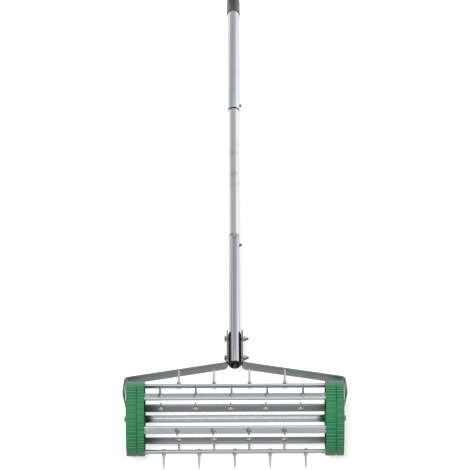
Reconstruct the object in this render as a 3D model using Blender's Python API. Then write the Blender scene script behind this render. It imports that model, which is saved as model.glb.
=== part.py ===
# Rolling lawn spike aerator: a spiked drum turns on a fixed axle, carried by two bent flat strips that
# clamp round the foot of a handle made of three tubes. Metres, +Z up, X along the axle.
# The tool lies as it is set down: one row of spikes and the handle's end cap touch the floor at z = 0,
# and the origin is on the floor under the middle of the tool.

import math

import bmesh
import bpy
from mathutils import Matrix, Vector

# Clearances
FIT_GAP = 0.0003
WHEEL_SIDE_PLAY = 0.0007
SPIKE_TO_ARM = 0.0105

# Axle: a fixed tube with a threaded insert and a bolt at each end
AXLE_RADIUS = 0.0075
AXLE_WALL = 0.0015
INSERT_LENGTH = 0.020
AXLE_BOLT_LENGTH = 0.022

# Wheels: a moulded rim with two staggered columns of lugs, a web, a hub, and a socket and a tongue for
# each bar. The groove between the columns lies nearer the right-hand side on both wheels.
WHEEL_INNER_FACE = 0.174
WHEEL_WIDTH = 0.0355
WHEEL_RADIUS = 0.072
TREAD_DEPTH = 0.0012
TREAD_GROOVE = 0.0014
TREAD_GROOVE_DEPTH = 0.0016
TREAD_GROOVE_SHIFT = 0.003
RIM_WALL = 0.0019
RIM_SIDE_STEP = 0.0005
LUGS_AROUND = 30
LUG_GAP_SHARE = 0.16
WEB_RECESS = 0.001
WEB_THICKNESS = 0.003
HUB_RADIUS = 0.0130
HUB_INNER_LENGTH = 0.004
HUB_RECESS = 0.0037
RIB_THICKNESS = 0.0025
RIB_DEPTH = 0.020
SOCKET_WALL = 0.0020
TONGUE_LENGTH = 0.0085

# Bars: flat-oval tubes between the wheels
BAR_COUNT = 6
BAR_WIDTH = 0.016
BAR_THICKNESS = 0.007
BAR_WALL = 0.0011
BAR_SEAT = 0.012
BAR_RIM_GAP = 0.0005

# Spikes: riveted through the bars, five and four by turns
# Each row of bars is punched slightly off centre, by its own offset along the axle.
SPIKE_ROWS = (
    (4, -0.0078),
    (5, -0.0064),
    (4, -0.0058),
    (5, -0.0084),
    (4, -0.0070),
    (5, -0.0008),
)
SPIKE_SPACING = 0.0684
SPIKE_TIP_RADIUS = 0.100
SPIKE_POINT_LENGTH = 0.006
SPIKE_POINT_RADIUS = 0.0013
SPIKE_SHANK_RADIUS = 0.0020
SPIKE_COLLAR_RADIUS = 0.0045
SPIKE_COLLAR_LENGTH = 0.0075
SPIKE_STEM_RADIUS = 0.0022
SPIKE_HEAD_RADIUS = 0.0040
SPIKE_HEAD_HEIGHT = 0.0022
SPIKE_HEAD_CROWN = 0.0015
SPIKE_HEAD_CROWN_RADIUS = 0.0032

# Bracket: two mirrored flat strips. Each bulges out round the rim of its wheel, then steps back in to
# the hub, which lies below the rim's outer face.
STRIP_THICKNESS = 0.003
STRIP_WIDTH = 0.020
ARM_SLOPE = math.radians(11.2)
ROOT_BEND_RADIUS = 0.0095
CORNER_BEND_RADIUS = 0.0080
BULGE_BEND_RADIUS = 0.075
JOGGLE_BEND_RADIUS = 0.015
CORNER_OUT = 0.0059
BULGE_OUT = 0.0095
BULGE_BELOW_CORNER = 0.0448
JOGGLE_LENGTH = 0.0311
PLATE_END_RADIUS = 0.0098
CLAMP_END_RADIUS = 0.0035

# Handle: three tubes that plug together
BOTTOM_TUBE_RADIUS = 0.0115
BOTTOM_TUBE_WALL = 0.0012
BOTTOM_TUBE_LENGTH = 0.3385
MIDDLE_TUBE_RADIUS = 0.0110
MIDDLE_TUBE_WALL = 0.0010
MIDDLE_TUBE_SHOWING = 0.368
TOP_TUBE_WALL = 0.0012
TOP_TUBE_LENGTH = 0.3335
LOWER_INSERTION = 0.055
UPPER_INSERTION = 0.060
SWAGE_TAPER = 0.006
SWAGE_SHOWING = 0.0015
HANDLE_FOOT_BELOW_BEND = 0.0045
TUBE_NEST_GAP = 0.0003

# Clamp: plastic saddles, bolts and nuts round the foot of the handle
CLAMP_PLATE_LENGTH = 0.079
LOWER_BOLT_ABOVE_BEND = 0.0122
CLAMP_BOLT_SPACING = 0.050
SADDLE_WALL = 0.0011
SADDLE_HALF_ANGLE = math.radians(46)
SADDLE_BELOW_PLATE_TOP = 0.006
SADDLE_FLARE = math.radians(18)
BOLT_RADIUS = 0.0030
BOLT_HEAD_FLATS = 0.010
BOLT_HEAD_HEIGHT = 0.0040
NUT_HEIGHT = 0.0060
BOLT_END_PROUD = 0.0052

# Snap buttons and their spring clips
BUTTON_RADIUS = 0.0030
BUTTON_PROUD = 0.0040
BUTTON_DOME = 0.0018
BUTTON_DOME_EDGE = 0.0006
BUTTON_CROWN_RADIUS = 0.0022
LOWER_BUTTON_BELOW_RIM = 0.0170
UPPER_BUTTON_ABOVE_RIM = 0.015
CLIP_THICKNESS = 0.0010
CLIP_WIDTH = 0.006
CLIP_REACH = 0.026
CLIP_TAIL = 0.006
CLIP_BEND_RELIEF = 0.0001

# End cap and foot plug
CAP_WALL = 0.0008
CAP_LENGTH = 0.032
CAP_CROWN = 0.0025
CAP_DOME = 0.005
PLUG_WALL = 0.0014
PLUG_DEPTH = 0.013
PLUG_RIM_THICKNESS = 0.0022
PLUG_RIM_CHAMFER = 0.0007
PLUG_RIM_INSET = 0.0002

# Facets
TUBE_FACETS = 24
WHEEL_FACETS = 30
SMALL_FACETS = 12
SPIKE_FACETS = 8
BEND_STEPS = 5
OVAL_STEPS = 4
TONGUE_STEPS = 2
CAP_STEPS = 4
SHARP_EDGE = math.radians(40)
MERGE_DISTANCE = 1e-6
SAME_PLACE = 1e-5

# Sizes worked out from the ones above
CORE_RADIUS = WHEEL_RADIUS - TREAD_GROOVE_DEPTH
RIM_INNER_RADIUS = CORE_RADIUS - RIM_WALL
BAR_OUTER_RADIUS = RIM_INNER_RADIUS - BAR_RIM_GAP
BAR_PITCH_RADIUS = BAR_OUTER_RADIUS - BAR_THICKNESS / 2
BAR_INNER_RADIUS = BAR_OUTER_RADIUS - BAR_THICKNESS
BAR_HALF_LENGTH = WHEEL_INNER_FACE + BAR_SEAT
WHEEL_OUTER_FACE = WHEEL_INNER_FACE + WHEEL_WIDTH
HUB_OUTER_FACE = WHEEL_OUTER_FACE - HUB_RECESS
ROW_STEP = 2 * math.pi / BAR_COUNT
FIRST_ROW_ANGLE = -math.pi + ROW_STEP / 2

SIDE_PLATE_X = HUB_OUTER_FACE + WHEEL_SIDE_PLAY + STRIP_THICKNESS / 2
CORNER_X = SIDE_PLATE_X + CORNER_OUT
BULGE_X = SIDE_PLATE_X + BULGE_OUT
CLAMP_PLATE_INNER = BOTTOM_TUBE_RADIUS + FIT_GAP + SADDLE_WALL + FIT_GAP
CLAMP_PLATE_X = CLAMP_PLATE_INNER + STRIP_THICKNESS / 2
CLAMP_PLATE_OUTER = CLAMP_PLATE_INNER + STRIP_THICKNESS
OUTER_SPIKE_X = max((count - 1) / 2 * SPIKE_SPACING + abs(offset) for count, offset in SPIKE_ROWS)


def arm_height(x):
    """Height of the middle of an arm above the axle, at a distance x from the middle of the tool."""
    over_spike = SPIKE_TIP_RADIUS + SPIKE_TO_ARM + STRIP_THICKNESS / 2 / math.cos(ARM_SLOPE)
    return over_spike + (OUTER_SPIKE_X - x) * math.tan(ARM_SLOPE)


ROOT_TURN = math.pi / 2 - ARM_SLOPE
ROOT_BEND_HEIGHT = (
    arm_height(CLAMP_PLATE_X + ROOT_BEND_RADIUS * (1 - math.cos(ROOT_TURN)))
    + ROOT_BEND_RADIUS * math.sin(ROOT_TURN)
)
CLAMP_TOP = ROOT_BEND_HEIGHT + CLAMP_PLATE_LENGTH
LOWER_BOLT_HEIGHT = ROOT_BEND_HEIGHT + LOWER_BOLT_ABOVE_BEND
UPPER_BOLT_HEIGHT = LOWER_BOLT_HEIGHT + CLAMP_BOLT_SPACING
HANDLE_FOOT = ROOT_BEND_HEIGHT - HANDLE_FOOT_BELOW_BEND
BOTTOM_TUBE_TOP = HANDLE_FOOT + BOTTOM_TUBE_LENGTH
TOP_TUBE_FOOT = BOTTOM_TUBE_TOP + MIDDLE_TUBE_SHOWING
TOP_TUBE_TOP = TOP_TUBE_FOOT + TOP_TUBE_LENGTH
HANDLE_TOP = TOP_TUBE_TOP + FIT_GAP + CAP_CROWN
BOTTOM_TUBE_BORE = BOTTOM_TUBE_RADIUS - BOTTOM_TUBE_WALL
TOP_TUBE_BORE = MIDDLE_TUBE_RADIUS + TUBE_NEST_GAP
TOP_TUBE_RADIUS = TOP_TUBE_BORE + TOP_TUBE_WALL
SWAGE_RADIUS = BOTTOM_TUBE_BORE - TUBE_NEST_GAP
SWAGE_BORE = SWAGE_RADIUS - MIDDLE_TUBE_WALL
MIDDLE_TUBE_BORE = MIDDLE_TUBE_RADIUS - MIDDLE_TUBE_WALL
MIDDLE_TUBE_FOOT = BOTTOM_TUBE_TOP - LOWER_INSERTION
MIDDLE_TUBE_TOP = TOP_TUBE_FOOT + UPPER_INSERTION
LOWER_BUTTON_HEIGHT = BOTTOM_TUBE_TOP - LOWER_BUTTON_BELOW_RIM
UPPER_BUTTON_HEIGHT = TOP_TUBE_FOOT + UPPER_BUTTON_ABOVE_RIM
CAP_RADIUS = TOP_TUBE_RADIUS + FIT_GAP + CAP_WALL
CAP_SHOULDER = HANDLE_TOP - CAP_DOME
BOLT_HOLE_RADIUS = BOLT_RADIUS + FIT_GAP

# How the tool lies: the handle dips from the axle to the cap, which touches the floor with the lowest row
LIE_ANGLE = math.atan2(SPIKE_TIP_RADIUS - CAP_RADIUS, CAP_SHOULDER)
AXLE_HEIGHT = SPIKE_TIP_RADIUS * math.cos(LIE_ANGLE)
FRONT_REACH = SPIKE_TIP_RADIUS * math.cos(ROW_STEP / 2 - LIE_ANGLE)
AXLE_Y = (FRONT_REACH - HANDLE_TOP * math.cos(LIE_ANGLE)) / 2


def clear_scene():
    for obj in list(bpy.data.objects):
        bpy.data.objects.remove(obj)


def make_material(name, colour, roughness, metallic):
    material = bpy.data.materials.new(name)
    material.use_nodes = True
    shader = material.node_tree.nodes["Principled BSDF"]
    shader.inputs["Base Color"].default_value = (*colour, 1.0)
    shader.inputs["Roughness"].default_value = roughness
    shader.inputs["Metallic"].default_value = metallic
    return material


def make_empty(name, parent=None, location=(0, 0, 0), turn_about_x=0.0):
    empty = bpy.data.objects.new(name, None)
    empty.empty_display_size = 0.05
    empty.location = location
    empty.rotation_euler = (turn_about_x, 0, 0)
    empty.parent = parent
    bpy.context.collection.objects.link(empty)
    return empty


def make_object(name, mesh, parent=None, material=None, location=(0, 0, 0), rotation=(0, 0, 0)):
    obj = bpy.data.objects.new(name, mesh)
    obj.location = location
    obj.rotation_euler = rotation
    obj.parent = parent
    if material:
        mesh.materials.clear()
        mesh.materials.append(material)
        mesh.shade_smooth()
        mesh.set_sharp_from_angle(angle=SHARP_EDGE)
    bpy.context.collection.objects.link(obj)
    return obj


# Mesh building

def mesh_from(bm, name):
    bmesh.ops.remove_doubles(bm, verts=bm.verts, dist=MERGE_DISTANCE)
    bmesh.ops.recalc_face_normals(bm, faces=bm.faces)
    mesh = bpy.data.meshes.new(name)
    bm.to_mesh(mesh)
    bm.free()
    return mesh


def add_turned(bm, profile, facets, closed=True, angle=2 * math.pi, start=0.0, centre=(0, 0, 0)):
    """Turn a (radius, height) profile about Z. An open profile starts and ends on the axis."""
    turn = Matrix.Rotation(start, 4, "Z")
    verts = [bm.verts.new(turn @ Vector((radius, 0, height))) for radius, height in profile]
    full = angle > 2 * math.pi - MERGE_DISTANCE
    if closed and not full:
        geometry = [bm.faces.new(verts)]
    else:
        pairs = list(zip(verts, verts[1:]))
        if closed:
            pairs.append((verts[-1], verts[0]))
        geometry = [bm.edges.new(pair) for pair in pairs]
    known = set(bm.verts) - set(verts)
    bmesh.ops.spin(
        bm, geom=verts + geometry, cent=(0, 0, 0), axis=(0, 0, 1),
        angle=angle, steps=facets, use_merge=full,
    )
    turned = [vert for vert in bm.verts if vert not in known]
    bmesh.ops.remove_doubles(bm, verts=turned, dist=MERGE_DISTANCE)
    turned = [vert for vert in bm.verts if vert not in known]
    bmesh.ops.translate(bm, verts=turned, vec=centre)


def add_prism(bm, outline, start, length):
    """Extrude an (x, y) outline along Z from start."""
    face = bm.faces.new([bm.verts.new((x, y, start)) for x, y in outline])
    result = bmesh.ops.extrude_face_region(bm, geom=[face])
    moved = [item for item in result["geom"] if isinstance(item, bmesh.types.BMVert)]
    bmesh.ops.translate(bm, verts=moved, vec=(0, 0, length))


def turned_mesh(name, profile, facets, closed=True):
    bm = bmesh.new()
    add_turned(bm, profile, facets, closed)
    return mesh_from(bm, name)


def prism_mesh(name, outline, start, length):
    bm = bmesh.new()
    add_prism(bm, outline, start, length)
    return mesh_from(bm, name)


def pin_profile(radius, low, high):
    return [(0, low), (radius, low), (radius, high), (0, high)]


def tube_profile(radius, bore, low, high):
    return [(bore, low), (radius, low), (radius, high), (bore, high)]


def aim_along_x(bm):
    """Turn what was built along Z so that it lies along X."""
    bmesh.ops.transform(bm, matrix=Matrix.Rotation(math.pi / 2, 4, "Y"), verts=bm.verts)


def cross_pins(name, radius, low, high, heights, facets=SMALL_FACETS):
    """Pins along X at the given heights, as one cutter or one set of shanks."""
    bm = bmesh.new()
    add_turned(bm, pin_profile(radius, low, high), facets, closed=False)
    aim_along_x(bm)
    first = list(bm.verts) + list(bm.edges) + list(bm.faces)
    for height in heights[1:]:
        copy = bmesh.ops.duplicate(bm, geom=first)
        verts = [item for item in copy["geom"] if isinstance(item, bmesh.types.BMVert)]
        bmesh.ops.translate(bm, verts=verts, vec=(0, 0, height))
    bmesh.ops.translate(bm, verts=[item for item in first if isinstance(item, bmesh.types.BMVert)],
                        vec=(0, 0, heights[0]))
    return mesh_from(bm, name)


def combine(mesh, tool_mesh, operation):
    """Join a tool mesh to a mesh, or cut it away, and give back the new mesh."""
    body = make_object("body", mesh)
    tool = make_object("tool", tool_mesh)
    step = body.modifiers.new("combine", "BOOLEAN")
    step.operation = operation
    step.solver = "EXACT"
    step.object = tool
    evaluated = body.evaluated_get(bpy.context.evaluated_depsgraph_get())
    result = bpy.data.meshes.new_from_object(evaluated)
    result.name = mesh.name
    bpy.data.objects.remove(body)
    bpy.data.objects.remove(tool)
    bpy.data.meshes.remove(mesh)
    bpy.data.meshes.remove(tool_mesh)
    return result


def stadium(width, thickness, steps):
    """Outline of a flat oval, centred, with its long side along the first axis."""
    radius = thickness / 2
    reach = width / 2 - radius
    outline = []
    for side in (1, -1):
        for step in range(steps + 1):
            angle = side * math.pi / 2 * -1 + side * math.pi * step / steps
            if side == 1:
                outline.append((reach + radius * math.cos(angle), radius * math.sin(angle)))
            else:
                outline.append((-reach - radius * math.cos(angle), radius * math.sin(angle)))
    return outline


def hexagon(flats):
    radius = flats / math.sqrt(3)
    return [(radius * math.cos(math.pi / 3 * k), radius * math.sin(math.pi / 3 * k)) for k in range(6)]


def rounded_strip(corners, radii, thickness, steps):
    """Closed outline of a bent strip whose middle line runs through the corners."""
    points = [Vector(corner) for corner in corners]
    near_side = []
    far_side = []

    def add_pair(point, direction):
        normal = Vector((-direction.y, direction.x)) * thickness / 2
        near_side.append(point + normal)
        far_side.append(point - normal)

    add_pair(points[0], (points[1] - points[0]).normalized())
    for before, corner, after, radius in zip(points, points[1:], points[2:], radii):
        incoming = (corner - before).normalized()
        outgoing = (after - corner).normalized()
        turn = incoming.angle_signed(outgoing)
        centre_side = Vector((incoming.y, -incoming.x)) * math.copysign(1, turn)
        start = corner - incoming * radius * math.tan(abs(turn) / 2)
        centre = start + centre_side * radius
        for step in range(steps + 1):
            spin = Matrix.Rotation(-turn * step / steps, 2)
            add_pair(centre + spin @ (start - centre), spin @ incoming)
    add_pair(points[-1], (points[-1] - points[-2]).normalized())
    return [tuple(point) for point in near_side + far_side[::-1]]


# Handle

def build_tubes(frame, steel):
    bottom = turned_mesh(
        "bottom_tube",
        tube_profile(BOTTOM_TUBE_RADIUS, BOTTOM_TUBE_BORE, HANDLE_FOOT, BOTTOM_TUBE_TOP),
        TUBE_FACETS,
    )
    bolt_heights = (LOWER_BOLT_HEIGHT, UPPER_BOLT_HEIGHT)
    through = cross_pins("holes", BOLT_HOLE_RADIUS, -CLAMP_PLATE_X, CLAMP_PLATE_X, bolt_heights)
    bottom = combine(bottom, through, "DIFFERENCE")
    bottom = combine(bottom, button_hole(LOWER_BUTTON_HEIGHT), "DIFFERENCE")
    make_object("bottom_tube", bottom, frame, steel)

    swage_end = BOTTOM_TUBE_TOP + SWAGE_SHOWING
    middle = turned_mesh("middle_tube", [
        (SWAGE_BORE, MIDDLE_TUBE_FOOT),
        (SWAGE_RADIUS, MIDDLE_TUBE_FOOT),
        (SWAGE_RADIUS, swage_end),
        (MIDDLE_TUBE_RADIUS, swage_end + SWAGE_TAPER),
        (MIDDLE_TUBE_RADIUS, MIDDLE_TUBE_TOP),
        (MIDDLE_TUBE_BORE, MIDDLE_TUBE_TOP),
        (MIDDLE_TUBE_BORE, swage_end + SWAGE_TAPER),
        (SWAGE_BORE, swage_end),
    ], TUBE_FACETS)
    middle = combine(middle, button_hole(LOWER_BUTTON_HEIGHT), "DIFFERENCE")
    middle = combine(middle, button_hole(UPPER_BUTTON_HEIGHT), "DIFFERENCE")
    make_object("middle_tube", middle, frame, steel)

    top = turned_mesh(
        "top_tube",
        tube_profile(TOP_TUBE_RADIUS, TOP_TUBE_BORE, TOP_TUBE_FOOT, TOP_TUBE_TOP),
        TUBE_FACETS,
    )
    top = combine(top, button_hole(UPPER_BUTTON_HEIGHT), "DIFFERENCE")
    make_object("top_tube", top, frame, steel)


def button_hole(height):
    return cross_pins("hole", BUTTON_RADIUS + FIT_GAP, BUTTON_RADIUS, CAP_RADIUS * 2, (height,))


def build_end_cap(frame, plastic):
    cap_foot = HANDLE_TOP - CAP_LENGTH
    inside = TOP_TUBE_RADIUS + FIT_GAP
    ceiling = TOP_TUBE_TOP + FIT_GAP
    flat = CAP_RADIUS - CAP_DOME
    dome = []
    for step in range(CAP_STEPS + 1):
        angle = math.pi / 2 * step / CAP_STEPS
        dome.append((flat + CAP_DOME * math.cos(angle), CAP_SHOULDER + CAP_DOME * math.sin(angle)))
    profile = [(0, ceiling), (inside, ceiling), (inside, cap_foot), (CAP_RADIUS, cap_foot)]
    profile += dome + [(0, HANDLE_TOP)]
    make_object("end_cap", turned_mesh("end_cap", profile, TUBE_FACETS, False), frame, plastic)


def build_foot_plug(frame, plastic):
    rim_top = HANDLE_FOOT - FIT_GAP
    rim_foot = rim_top - PLUG_RIM_THICKNESS
    sleeve = BOTTOM_TUBE_BORE - FIT_GAP
    mouth = sleeve - PLUG_WALL
    rim = BOTTOM_TUBE_RADIUS - PLUG_RIM_INSET
    profile = [
        (0, rim_top + PLUG_DEPTH),
        (sleeve, rim_top + PLUG_DEPTH),
        (sleeve, rim_top),
        (rim, rim_top),
        (rim, rim_foot + PLUG_RIM_CHAMFER),
        (rim - PLUG_RIM_CHAMFER, rim_foot),
        (mouth, rim_foot),
        (mouth, rim_top + PLUG_DEPTH - PLUG_WALL),
        (0, rim_top + PLUG_DEPTH - PLUG_WALL),
    ]
    make_object("foot_plug", turned_mesh("foot_plug", profile, TUBE_FACETS, False), frame, plastic)


def build_snap_button(prefix, frame, height, bore, outer_radius, deeper, steel):
    """A spring clip inside a tube. Its moving arm carries the button, and its bend lies deeper in."""
    arm_face = math.sqrt(bore ** 2 - (CLIP_WIDTH / 2) ** 2) - FIT_GAP
    arm_x = arm_face - CLIP_THICKNESS / 2
    bend = deeper * CLIP_REACH

    fixed_line = [(-arm_x, -deeper * CLIP_TAIL), (-arm_x, bend + deeper * arm_x)]
    fixed_line += [(arm_x, bend + deeper * arm_x), (arm_x, bend)]
    bend_radius = arm_x - CLIP_BEND_RELIEF
    fixed = rounded_strip(fixed_line, (bend_radius, bend_radius), CLIP_THICKNESS, BEND_STEPS)
    clip = prism_mesh(prefix + "_clip", fixed, -CLIP_WIDTH / 2, CLIP_WIDTH)
    lay_on_side(clip)
    make_object(prefix + "_clip", clip, frame, steel, location=(0, 0, height))

    moving_line = [(arm_x, -deeper * CLIP_TAIL), (arm_x, bend - deeper * FIT_GAP)]
    moving = rounded_strip(moving_line, (), CLIP_THICKNESS, BEND_STEPS)
    arm = prism_mesh(prefix + "_button", moving, -CLIP_WIDTH / 2, CLIP_WIDTH)
    lay_on_side(arm)
    tip = outer_radius + BUTTON_PROUD
    bm = bmesh.new()
    add_turned(bm, [
        (0, arm_x),
        (BUTTON_RADIUS, arm_x),
        (BUTTON_RADIUS, tip - BUTTON_DOME),
        (BUTTON_CROWN_RADIUS, tip - BUTTON_DOME_EDGE),
        (0, tip),
    ], SMALL_FACETS, closed=False)
    aim_along_x(bm)
    button = combine(arm, mesh_from(bm, "pin"), "UNION")
    make_object(prefix + "_button", button, frame, steel, location=(0, 0, height))


def lay_on_side(mesh):
    """Stand an outline drawn as (x, height) and extruded along Z upright, with its width along Y."""
    mesh.transform(Matrix.Rotation(math.pi / 2, 4, "X"))


# Bracket and clamp

def bracket_line():
    corner_height = arm_height(CORNER_X)
    bulge_height = corner_height - BULGE_BELOW_CORNER
    return [
        (CLAMP_PLATE_X, CLAMP_TOP),
        (CLAMP_PLATE_X, arm_height(CLAMP_PLATE_X)),
        (CORNER_X, corner_height),
        (BULGE_X, bulge_height),
        (SIDE_PLATE_X, bulge_height - JOGGLE_LENGTH),
        (SIDE_PLATE_X, -STRIP_WIDTH / 2),
    ]


def round_end(mesh, height, radius):
    """Round the two corners of a strip's end, seen square on."""
    bm = bmesh.new()
    bm.from_mesh(mesh)
    edges = [
        edge for edge in bm.edges
        if all(abs(vert.co.z - height) < SAME_PLACE for vert in edge.verts)
        and abs(edge.verts[0].co.y - edge.verts[1].co.y) < SAME_PLACE
    ]
    bmesh.ops.bevel(bm, geom=edges, offset=radius, segments=BEND_STEPS, profile=0.5, affect="EDGES")
    bm.to_mesh(mesh)
    bm.free()


def build_brackets(frame, steel):
    radii = (ROOT_BEND_RADIUS, CORNER_BEND_RADIUS, BULGE_BEND_RADIUS, JOGGLE_BEND_RADIUS)
    outline = rounded_strip(bracket_line(), radii, STRIP_THICKNESS, BEND_STEPS)
    strip = prism_mesh("bracket", outline, -STRIP_WIDTH / 2, STRIP_WIDTH)
    lay_on_side(strip)
    round_end(strip, -STRIP_WIDTH / 2, PLATE_END_RADIUS)
    round_end(strip, CLAMP_TOP, CLAMP_END_RADIUS)
    bolt_heights = (LOWER_BOLT_HEIGHT, UPPER_BOLT_HEIGHT)
    strip = combine(strip, cross_pins("holes", BOLT_HOLE_RADIUS, 0, CLAMP_PLATE_X * 2, bolt_heights),
                    "DIFFERENCE")
    axle_hole = cross_pins("hole", BOLT_HOLE_RADIUS, WHEEL_INNER_FACE, SIDE_PLATE_X * 2, (0,))
    strip = combine(strip, axle_hole, "DIFFERENCE")
    make_object("right_bracket", strip, frame, steel)
    make_object("left_bracket", strip, frame, steel, rotation=(0, 0, math.pi))


def build_saddles(frame, plastic):
    inner = BOTTOM_TUBE_RADIUS + FIT_GAP
    outer = inner + SADDLE_WALL
    top = CLAMP_TOP - SADDLE_BELOW_PLATE_TOP
    bend_centre = CLAMP_PLATE_X + ROOT_BEND_RADIUS
    outside = []
    inside = []
    for step in range(BEND_STEPS + 1):
        angle = SADDLE_FLARE * step / BEND_STEPS
        for radius, side in ((bend_centre - outer, outside), (bend_centre - inner, inside)):
            side.append((bend_centre - radius * math.cos(angle),
                         ROOT_BEND_HEIGHT - radius * math.sin(angle)))
    section = [(inner, top), (outer, top)] + outside + inside[::-1]
    bm = bmesh.new()
    add_turned(bm, section, BEND_STEPS, angle=2 * SADDLE_HALF_ANGLE, start=-SADDLE_HALF_ANGLE)
    saddle = mesh_from(bm, "saddle")
    bolt_heights = (LOWER_BOLT_HEIGHT, UPPER_BOLT_HEIGHT)
    saddle = combine(saddle, cross_pins("holes", BOLT_HOLE_RADIUS, 0, CLAMP_PLATE_X * 2, bolt_heights),
                     "DIFFERENCE")
    make_object("right_saddle", saddle, frame, plastic)
    make_object("left_saddle", saddle, frame, plastic, rotation=(0, 0, math.pi))


def hex_bolt_mesh(name, length):
    """A hexagon-headed bolt along X, with its seat at x = 0 and its head beyond it."""
    bm = bmesh.new()
    add_prism(bm, hexagon(BOLT_HEAD_FLATS), 0, BOLT_HEAD_HEIGHT)
    aim_along_x(bm)
    head = mesh_from(bm, name)
    overlap = BOLT_HEAD_HEIGHT / 2
    shank = cross_pins("shank", BOLT_RADIUS, -length, overlap, (0,))
    return combine(head, shank, "UNION")


def hex_nut_mesh(name):
    """A nut along X, with its seat at x = 0."""
    bm = bmesh.new()
    add_prism(bm, hexagon(BOLT_HEAD_FLATS), 0, NUT_HEIGHT)
    aim_along_x(bm)
    hole = cross_pins("hole", BOLT_HOLE_RADIUS, -NUT_HEIGHT, 2 * NUT_HEIGHT, (0,))
    return combine(mesh_from(bm, name), hole, "DIFFERENCE")


def build_clamp_fasteners(frame, steel):
    seat = CLAMP_PLATE_OUTER + FIT_GAP
    bolt = hex_bolt_mesh("clamp_bolt", seat + seat + NUT_HEIGHT + BOLT_END_PROUD)
    nut = hex_nut_mesh("clamp_nut")
    for prefix, height in (("upper", UPPER_BOLT_HEIGHT), ("lower", LOWER_BOLT_HEIGHT)):
        make_object(prefix + "_clamp_bolt", bolt, frame, steel,
                    location=(-seat, 0, height), rotation=(0, 0, math.pi))
        make_object(prefix + "_clamp_nut", nut, frame, steel, location=(seat, 0, height))


# Axle

def build_axle(frame, steel):
    end = HUB_OUTER_FACE + WHEEL_SIDE_PLAY - FIT_GAP
    bm = bmesh.new()
    add_turned(bm, tube_profile(AXLE_RADIUS, AXLE_RADIUS - AXLE_WALL, -end, end), TUBE_FACETS)
    aim_along_x(bm)
    make_object("axle_tube", mesh_from(bm, "axle_tube"), frame, steel)

    insert_radius = AXLE_RADIUS - AXLE_WALL - FIT_GAP
    bm = bmesh.new()
    add_turned(bm, tube_profile(insert_radius, BOLT_HOLE_RADIUS, -INSERT_LENGTH, 0), SMALL_FACETS)
    aim_along_x(bm)
    insert = mesh_from(bm, "axle_insert")
    bolt = hex_bolt_mesh("axle_bolt", AXLE_BOLT_LENGTH)
    seat = SIDE_PLATE_X + STRIP_THICKNESS / 2 + FIT_GAP
    for prefix, side, turn in (("right", 1, 0), ("left", -1, math.pi)):
        make_object(prefix + "_axle_insert", insert, frame, steel,
                    location=(side * end, 0, 0), rotation=(0, 0, turn))
        make_object(prefix + "_axle_bolt", bolt, frame, steel,
                    location=(side * seat, 0, 0), rotation=(0, 0, turn))


# Drum

def row_angle(index):
    """Turn about X that brings the +Z direction onto a row of spikes. Positive rows lie towards +Y."""
    return -(FIRST_ROW_ANGLE + index * ROW_STEP)


def repeat_rows(bm, first):
    """Copy geometry from the +Z direction to every row's direction."""
    for index in range(BAR_COUNT):
        copy = bmesh.ops.duplicate(bm, geom=first)
        verts = [item for item in copy["geom"] if isinstance(item, bmesh.types.BMVert)]
        bmesh.ops.rotate(bm, verts=verts, cent=(0, 0, 0), matrix=Matrix.Rotation(row_angle(index), 3, "X"))
    bmesh.ops.delete(bm, geom=[item for item in first if isinstance(item, bmesh.types.BMVert)],
                     context="VERTS")


def everything(bm):
    return list(bm.verts) + list(bm.edges) + list(bm.faces)


def radial_prism(bm, outline, start, length):
    """Extrude an outline given as (across, out) along X, standing in the +Z direction."""
    known = set(bm.verts)
    add_prism(bm, outline, start, length)
    fresh = [vert for vert in bm.verts if vert not in known]
    onto_x = Matrix(((0, 0, 1, 0), (1, 0, 0, 0), (0, 1, 0, 0), (0, 0, 0, 1)))
    bmesh.ops.transform(bm, matrix=onto_x, verts=fresh)


def box_outline(half_width, low, high):
    return [(-half_width, low), (half_width, low), (half_width, high), (-half_width, high)]


def raised(outline, height):
    return [(across, out + height) for across, out in outline]


def tread_columns(groove_shift):
    """The two rings of lugs, half a lug apart, with a V-shaped gap between one lug and the next."""
    inner = (WHEEL_WIDTH - TREAD_GROOVE) / 2 + groove_shift
    outer = WHEEL_WIDTH - TREAD_GROOVE - inner
    pitch = 2 * math.pi / LUGS_AROUND
    half_lug = pitch * (1 - LUG_GAP_SHARE) / 2
    bore = RIM_INNER_RADIUS + RIM_WALL / 2
    bm = bmesh.new()
    for start, column, shift in ((0, inner, 0), (inner + TREAD_GROOVE, outer, 0.5)):
        faces = []
        for lug in range(LUGS_AROUND):
            middle = (lug + shift) * pitch
            corners = (
                (middle - pitch / 2, bore),
                (middle - pitch / 2, WHEEL_RADIUS - TREAD_DEPTH),
                (middle - half_lug, WHEEL_RADIUS),
                (middle + half_lug, WHEEL_RADIUS),
                (middle + pitch / 2, WHEEL_RADIUS - TREAD_DEPTH),
                (middle + pitch / 2, bore),
            )
            faces.append(bm.faces.new([
                bm.verts.new((start, radius * math.sin(angle), radius * math.cos(angle)))
                for angle, radius in corners
            ]))
        ring = list({vert for face in faces for vert in face.verts})
        bmesh.ops.remove_doubles(bm, verts=ring, dist=MERGE_DISTANCE)
        faces = [face for face in bm.faces if abs(face.calc_center_median().x - start) < MERGE_DISTANCE]
        result = bmesh.ops.extrude_face_region(bm, geom=faces)
        moved = [item for item in result["geom"] if isinstance(item, bmesh.types.BMVert)]
        bmesh.ops.translate(bm, verts=moved, vec=(column, 0, 0))
    return mesh_from(bm, "tread")


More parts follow.
